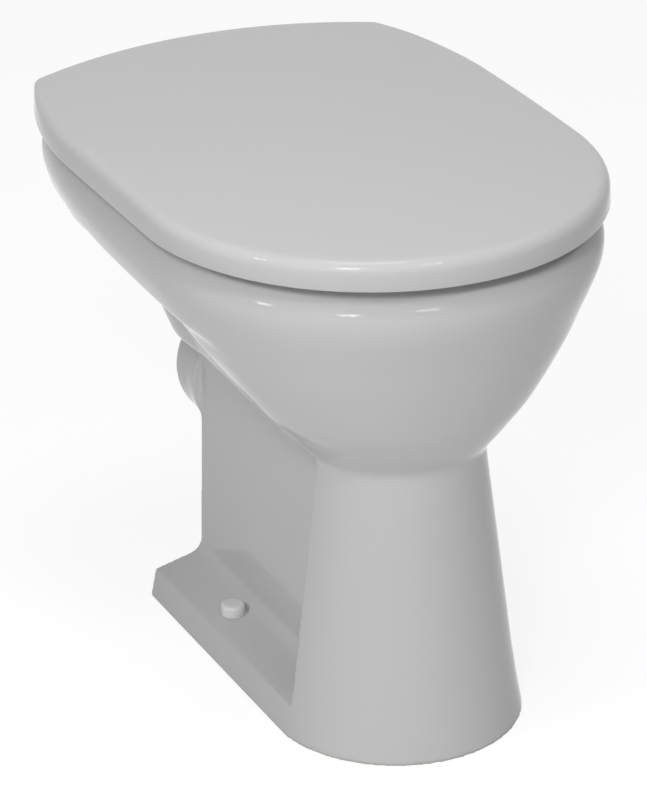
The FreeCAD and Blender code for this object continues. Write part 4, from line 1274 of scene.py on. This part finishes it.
@dataclass
class Buffers:
    """Soft buffers under the seat ring and under the lid.

    A place is its word, X, Y and turn in degrees, for the right side.
    """

    tree: RepeatTree
    rim: float = 0.400
    seat_bottom: float = 0.406
    seat_top: float = 0.4195
    lid_ceiling: float = 0.4235
    bar_half: Range = (0.014, 0.007)
    bar_edge: float = 0.0025
    bar_segments: int = 4
    disc_radius: float = 0.007
    disc_edge: tuple[Range, ...] = ((0.0045, 0.0), (0.006, 0.0003), (0.0068, 0.0012), (0.007, 0.002))
    disc_points: int = 32
    seat_places: BufferPlaces = (("front", 0.104, -0.167, 45.0), ("rear", 0.140, 0.062, 90.0))
    lid_places: BufferPlaces = (("front", 0.080, -0.178, 0.0), ("rear", 0.138, 0.040, 0.0))

    def dress(self) -> None:
        """Build both sets of buffers: bars under the seat ring, discs under the lid."""
        x, y = self.bar_half
        bar = block("buffer", (-x, -y, self.rim), (x, y, self.seat_bottom))
        ease(bar, self.bar_edge, self.bar_segments)
        self.spread(bar, self.seat_places, Body.SEAT)
        profile = [(radius, self.seat_top + rise) for radius, rise in self.disc_edge]
        profile.append((self.disc_radius, self.lid_ceiling))
        disc = lathe("buffer", profile, self.disc_points)
        self.spread(disc, self.lid_places, Body.LID)

    def spread(self, fitting: Object, places: BufferPlaces, body: Body) -> None:
        """Set one kind of buffer at its places on both sides.

        Args:
            fitting: One buffer, standing at the origin; it is used up.
            places: Where the buffers are.
            body: The body that they ride on.
        """
        spots, nodes = [], []
        for word, x, y, turn in places:
            for side in Side:
                spots.append((x * side.value, y, math.radians(turn) * side.value))
                nodes.append(f"{body.value}_buffer_{word}_{side.word}")
        piece = self.tree.repeat(f"{body.value}_buffers", fitting, spots, BUFFER_RUBBER)
        finish_piece(piece, BUFFER_RUBBER, body, nodes)


@dataclass
class Fixings:
    """Bolts, cones, washers and wing nuts that hold the hinges, and the caps over the floor screws."""

    tree: RepeatTree
    thread: ThreadTree
    x: float = 0.0775
    y: float = 0.178
    bolt_top: float = 0.4065
    bolt_length: float = 0.054
    bolt_radius: float = 0.004
    bolt_points: int = 28
    bolt_tip: float = 0.0012
    head_radius: float = 0.0072
    head_height: float = 0.0053
    head_sides: int = 6
    head_sink: float = 0.001
    edge: float = 0.0005
    thread_depth: float = 0.0005
    thread_length: float = 0.040
    thread_turns: float = 27.0
    thread_start: float = 0.002
    foot_x: float = 0.0725
    foot_y: float = 0.0225
    foot_seat: float = 0.027
    cap_height: float = 0.0095
    cap_radius: float = 0.0096
    cap_points: int = 48
    cap_inside: tuple[Range, ...] = ((0.0008, 0.0079), (0.007, 0.0079), (0.008, 0.0069), (0.008, 0.0002))
    cap_foot: tuple[Range, ...] = ((0.0083, 0.0), (0.0093, 0.0), (0.0096, 0.0003))
    cap_edge: float = 0.003
    cap_turn: float = 84.0
    cap_steps: int = 8
    cap_crown: tuple[Range, ...] = ((0.004, 0.0001), (0.0008, 0.0002))

    def pair(self, x: float, y: float) -> list[Spot]:
        """Places on both sides."""
        return [(x * side.value, y, 0.0) for side in Side]

    def nodes(self, base: str) -> list[str]:
        """Names of the nodes on both sides."""
        return [f"{base}_{side.word}" for side in Side]

    def dress(self) -> None:
        """Build all fixings."""
        self.bolts()
        self.caps()
        for node in self.nodes("wing_nut"):
            nut = merged_copy(node, f"{node}_moulded")
            ease(nut, self.edge)
            finish_piece(nut, BOLT_NYLON, Body.PAN, [node])
        dress_pairs({"bolt_cone": PAD_SOFT, "bolt_washer": BOLT_NYLON, "cap_washer": NYLON})

    def bolts(self) -> None:
        """Hex bolts with a wound thread."""
        top, tip = self.bolt_top, self.bolt_tip
        low = top - self.bolt_length
        root = self.bolt_radius - self.thread_depth
        profile = [(root - tip, low), (root, low + tip), (root, top + self.head_sink)]
        bolt = lathe("bolt", profile, self.bolt_points)
        profile = [(self.head_radius, top), (self.head_radius, top + self.head_height)]
        head = lathe("head", profile, self.head_sides)
        ease(head, self.edge)
        join(bolt, head)
        sizes = {
            "Radius": root,
            "Length": self.thread_length,
            "Turns": self.thread_turns,
            "Depth": self.thread_depth,
        }
        join(bolt, self.thread.wind("thread", sizes, BOLT_NYLON), low + self.thread_start)
        bolts = self.tree.repeat("hinge_bolts", bolt, self.pair(self.x, self.y), BOLT_NYLON)
        finish_piece(bolts, BOLT_NYLON, Body.PAN, self.nodes("hinge_bolt"))

    def caps(self) -> None:
        """Caps over the floor screws: a rounded top on a short straight wall, hollow underneath."""
        low, high, radius = self.foot_seat, self.foot_seat + self.cap_height, self.cap_radius
        profile = [(reach, low + rise) for reach, rise in self.cap_inside + self.cap_foot]
        for across, down in rounding(self.cap_turn, self.cap_steps):
            profile.append((radius - self.cap_edge * across, high - self.cap_edge * down))
        profile += [(reach, high + rise) for reach, rise in self.cap_crown]
        cap = lathe("cap", profile, self.cap_points)
        caps = self.tree.repeat("foot_caps", cap, self.pair(self.foot_x, self.foot_y), CAP_GLOSS)
        finish_piece(caps, CAP_GLOSS, Body.PAN, self.nodes("foot_cap"))


@dataclass
class HingeParts:
    """Brackets, pads, pins and bushes."""

    edge: float = 0.0008

    def dress(self) -> None:
        """Ease the brackets' edges and give every part its surface."""
        for side in Side:
            node = f"hinge_bracket_{side.word}"
            bracket = merged_copy(node, f"bracket_moulded_{side.word}")
            ease(bracket, self.edge)
            finish_piece(bracket, HINGE_SATIN, Body.PAN, [node])
        dress_pairs({"bracket_pad": PAD_SOFT, "hinge_pin": PIN_STEEL})
        dress_pairs({"seat_bush": NYLON, "lid_bush": NYLON})


@dataclass(frozen=True)
class Lamp:
    """A soft square lamp: name, place, side of its square and power in watts."""

    name: str
    place: Spot
    width: float
    power: float


@dataclass
class Studio:
    """Floor, surroundings, lamps and camera; the focal length is in pixels of the frame's height."""

    eye: Spot = (-1.2906, -2.6488, 1.6076)
    target: Spot = (-0.0196, -0.0325, 0.2265)
    focal: float = 4206.0
    frame_height: float = 800.0
    sensor: float = 36.0
    clip_end: float = 50.0
    ambient: float = 0.16
    floor_reach: float = 6.0
    floor_bounce: float = 0.82
    floor_shade: float = 0.20
    floor_glow: float = 0.86
    lamp_target: Spot = (0.0, 0.0, 0.25)
    lamps: tuple[Lamp, ...] = (
        Lamp("top", (-0.15, -0.3, 2.8), 0.9, 20.0),
        Lamp("soft_left", (-1.75, -1.8, 1.65), 1.5, 13.0),
        Lamp("left", (-2.4, -0.45, 1.9), 0.28, 8.0),
        Lamp("front_left", (-1.42, -2.02, 2.0), 0.45, 21.0),
        Lamp("front", (0.25, -2.2, 2.4), 0.45, 12.0),
    )

    def build(self) -> None:
        """Set up everything round the toilet."""
        bpy.context.scene.view_settings.view_transform = "Standard"
        self.camera()
        self.floor()
        self.surroundings()
        for lamp in self.lamps:
            self.hang(lamp)

    def aim(self, thing: Object, place: Spot, target: Spot) -> None:
        """Place a camera or lamp and point it at a spot.

        Args:
            thing: The camera or lamp.
            place: Where it is.
            target: What it points at.
        """
        thing.location = place
        line = Vector(target) - Vector(place)
        thing.rotation_euler = line.to_track_quat("-Z", "Y").to_euler()

    def camera(self) -> None:
        """Camera at the photograph's viewing angle."""
        data = bpy.data.cameras.new("camera")
        data.sensor_width = self.sensor
        data.lens = self.focal * self.sensor / self.frame_height
        data.clip_end = self.clip_end
        camera = add_object("camera", data)
        self.aim(camera, self.eye, self.target)
        bpy.context.scene.camera = camera

    def seen(self, nodes: Nodes) -> NodeSocket:
        """1 for rays that show the background.

        Args:
            nodes: The material's or world's nodes.

        Returns:
            The socket.
        """
        path = nodes.node("ShaderNodeLightPath", {}, {}).outputs
        total = path["Is Camera Ray"]
        for word in ("Is Glossy Ray", "Is Transmission Ray"):
            sockets = {0: total, 1: path[word]}
            total = nodes.node("ShaderNodeMath", {"operation": "MAXIMUM"}, sockets).outputs[0]
        return total

    def floor(self) -> None:
        """Pale floor that keeps the shadow and shows white."""
        reach = self.floor_reach
        mesh = bpy.data.meshes.new("floor")
        corners = [(-reach, -reach, 0), (reach, -reach, 0), (reach, reach, 0), (-reach, reach, 0)]
        mesh.from_pydata(corners, [], [(0, 1, 2, 3)])
        floor = add_object("floor", mesh)
        material = bpy.data.materials.new("floor_white")
        material.use_nodes = True
        nodes = Nodes(material.node_tree)
        pale, shaded = (
            nodes.node("ShaderNodeBsdfDiffuse", {}, {"Color": (tone, tone, tone, 1.0)}).outputs[0]
            for tone in (self.floor_bounce, self.floor_shade)
        )
        glow = nodes.node("ShaderNodeEmission", {}, {"Strength": self.floor_glow}).outputs[0]
        white = nodes.node("ShaderNodeAddShader", {}, {0: shaded, 1: glow}).outputs[0]
        sockets = {0: self.seen(nodes), 1: pale, 2: white}
        both = nodes.node("ShaderNodeMixShader", {}, sockets).outputs[0]
        nodes.node("ShaderNodeOutputMaterial", {}, {"Surface": both})
        mesh.materials.append(material)

    def surroundings(self) -> None:
        """Even light all round, white where it is seen."""
        world = bpy.data.worlds.new("studio")
        bpy.context.scene.world = world
        world.use_nodes = True
        nodes = Nodes(world.node_tree)
        sockets = {"Factor_Float": self.seen(nodes), "A_Float": self.ambient, "B_Float": 1.0}
        strength = nodes.node("ShaderNodeMix", {}, sockets).outputs[0]
        sockets = {"Color": (1.0, 1.0, 1.0, 1.0), "Strength": strength}
        light = nodes.node("ShaderNodeBackground", {}, sockets).outputs[0]
        nodes.node("ShaderNodeOutputWorld", {}, {"Surface": light})

    def hang(self, lamp: Lamp) -> None:
        """Hang a lamp and aim it at the toilet.

        Args:
            lamp: The lamp.
        """
        data = bpy.data.lights.new(lamp.name, "AREA")
        data.size = lamp.width
        data.energy = lamp.power
        self.aim(add_object(lamp.name, data), lamp.place, self.lamp_target)


def main() -> None:
    """Build every piece in order."""
    logging.basicConfig(level=logging.INFO, format="%(message)s")
    hinge = Hinge()
    repeat = RepeatTree()
    Pan().dress()
    SeatRing(hinge).dress()
    Lid(hinge).dress()
    Buffers(repeat).dress()
    Fixings(repeat, ThreadTree()).dress()
    HingeParts().dress()
    Studio().build()


if __name__ == "__main__":
    main()
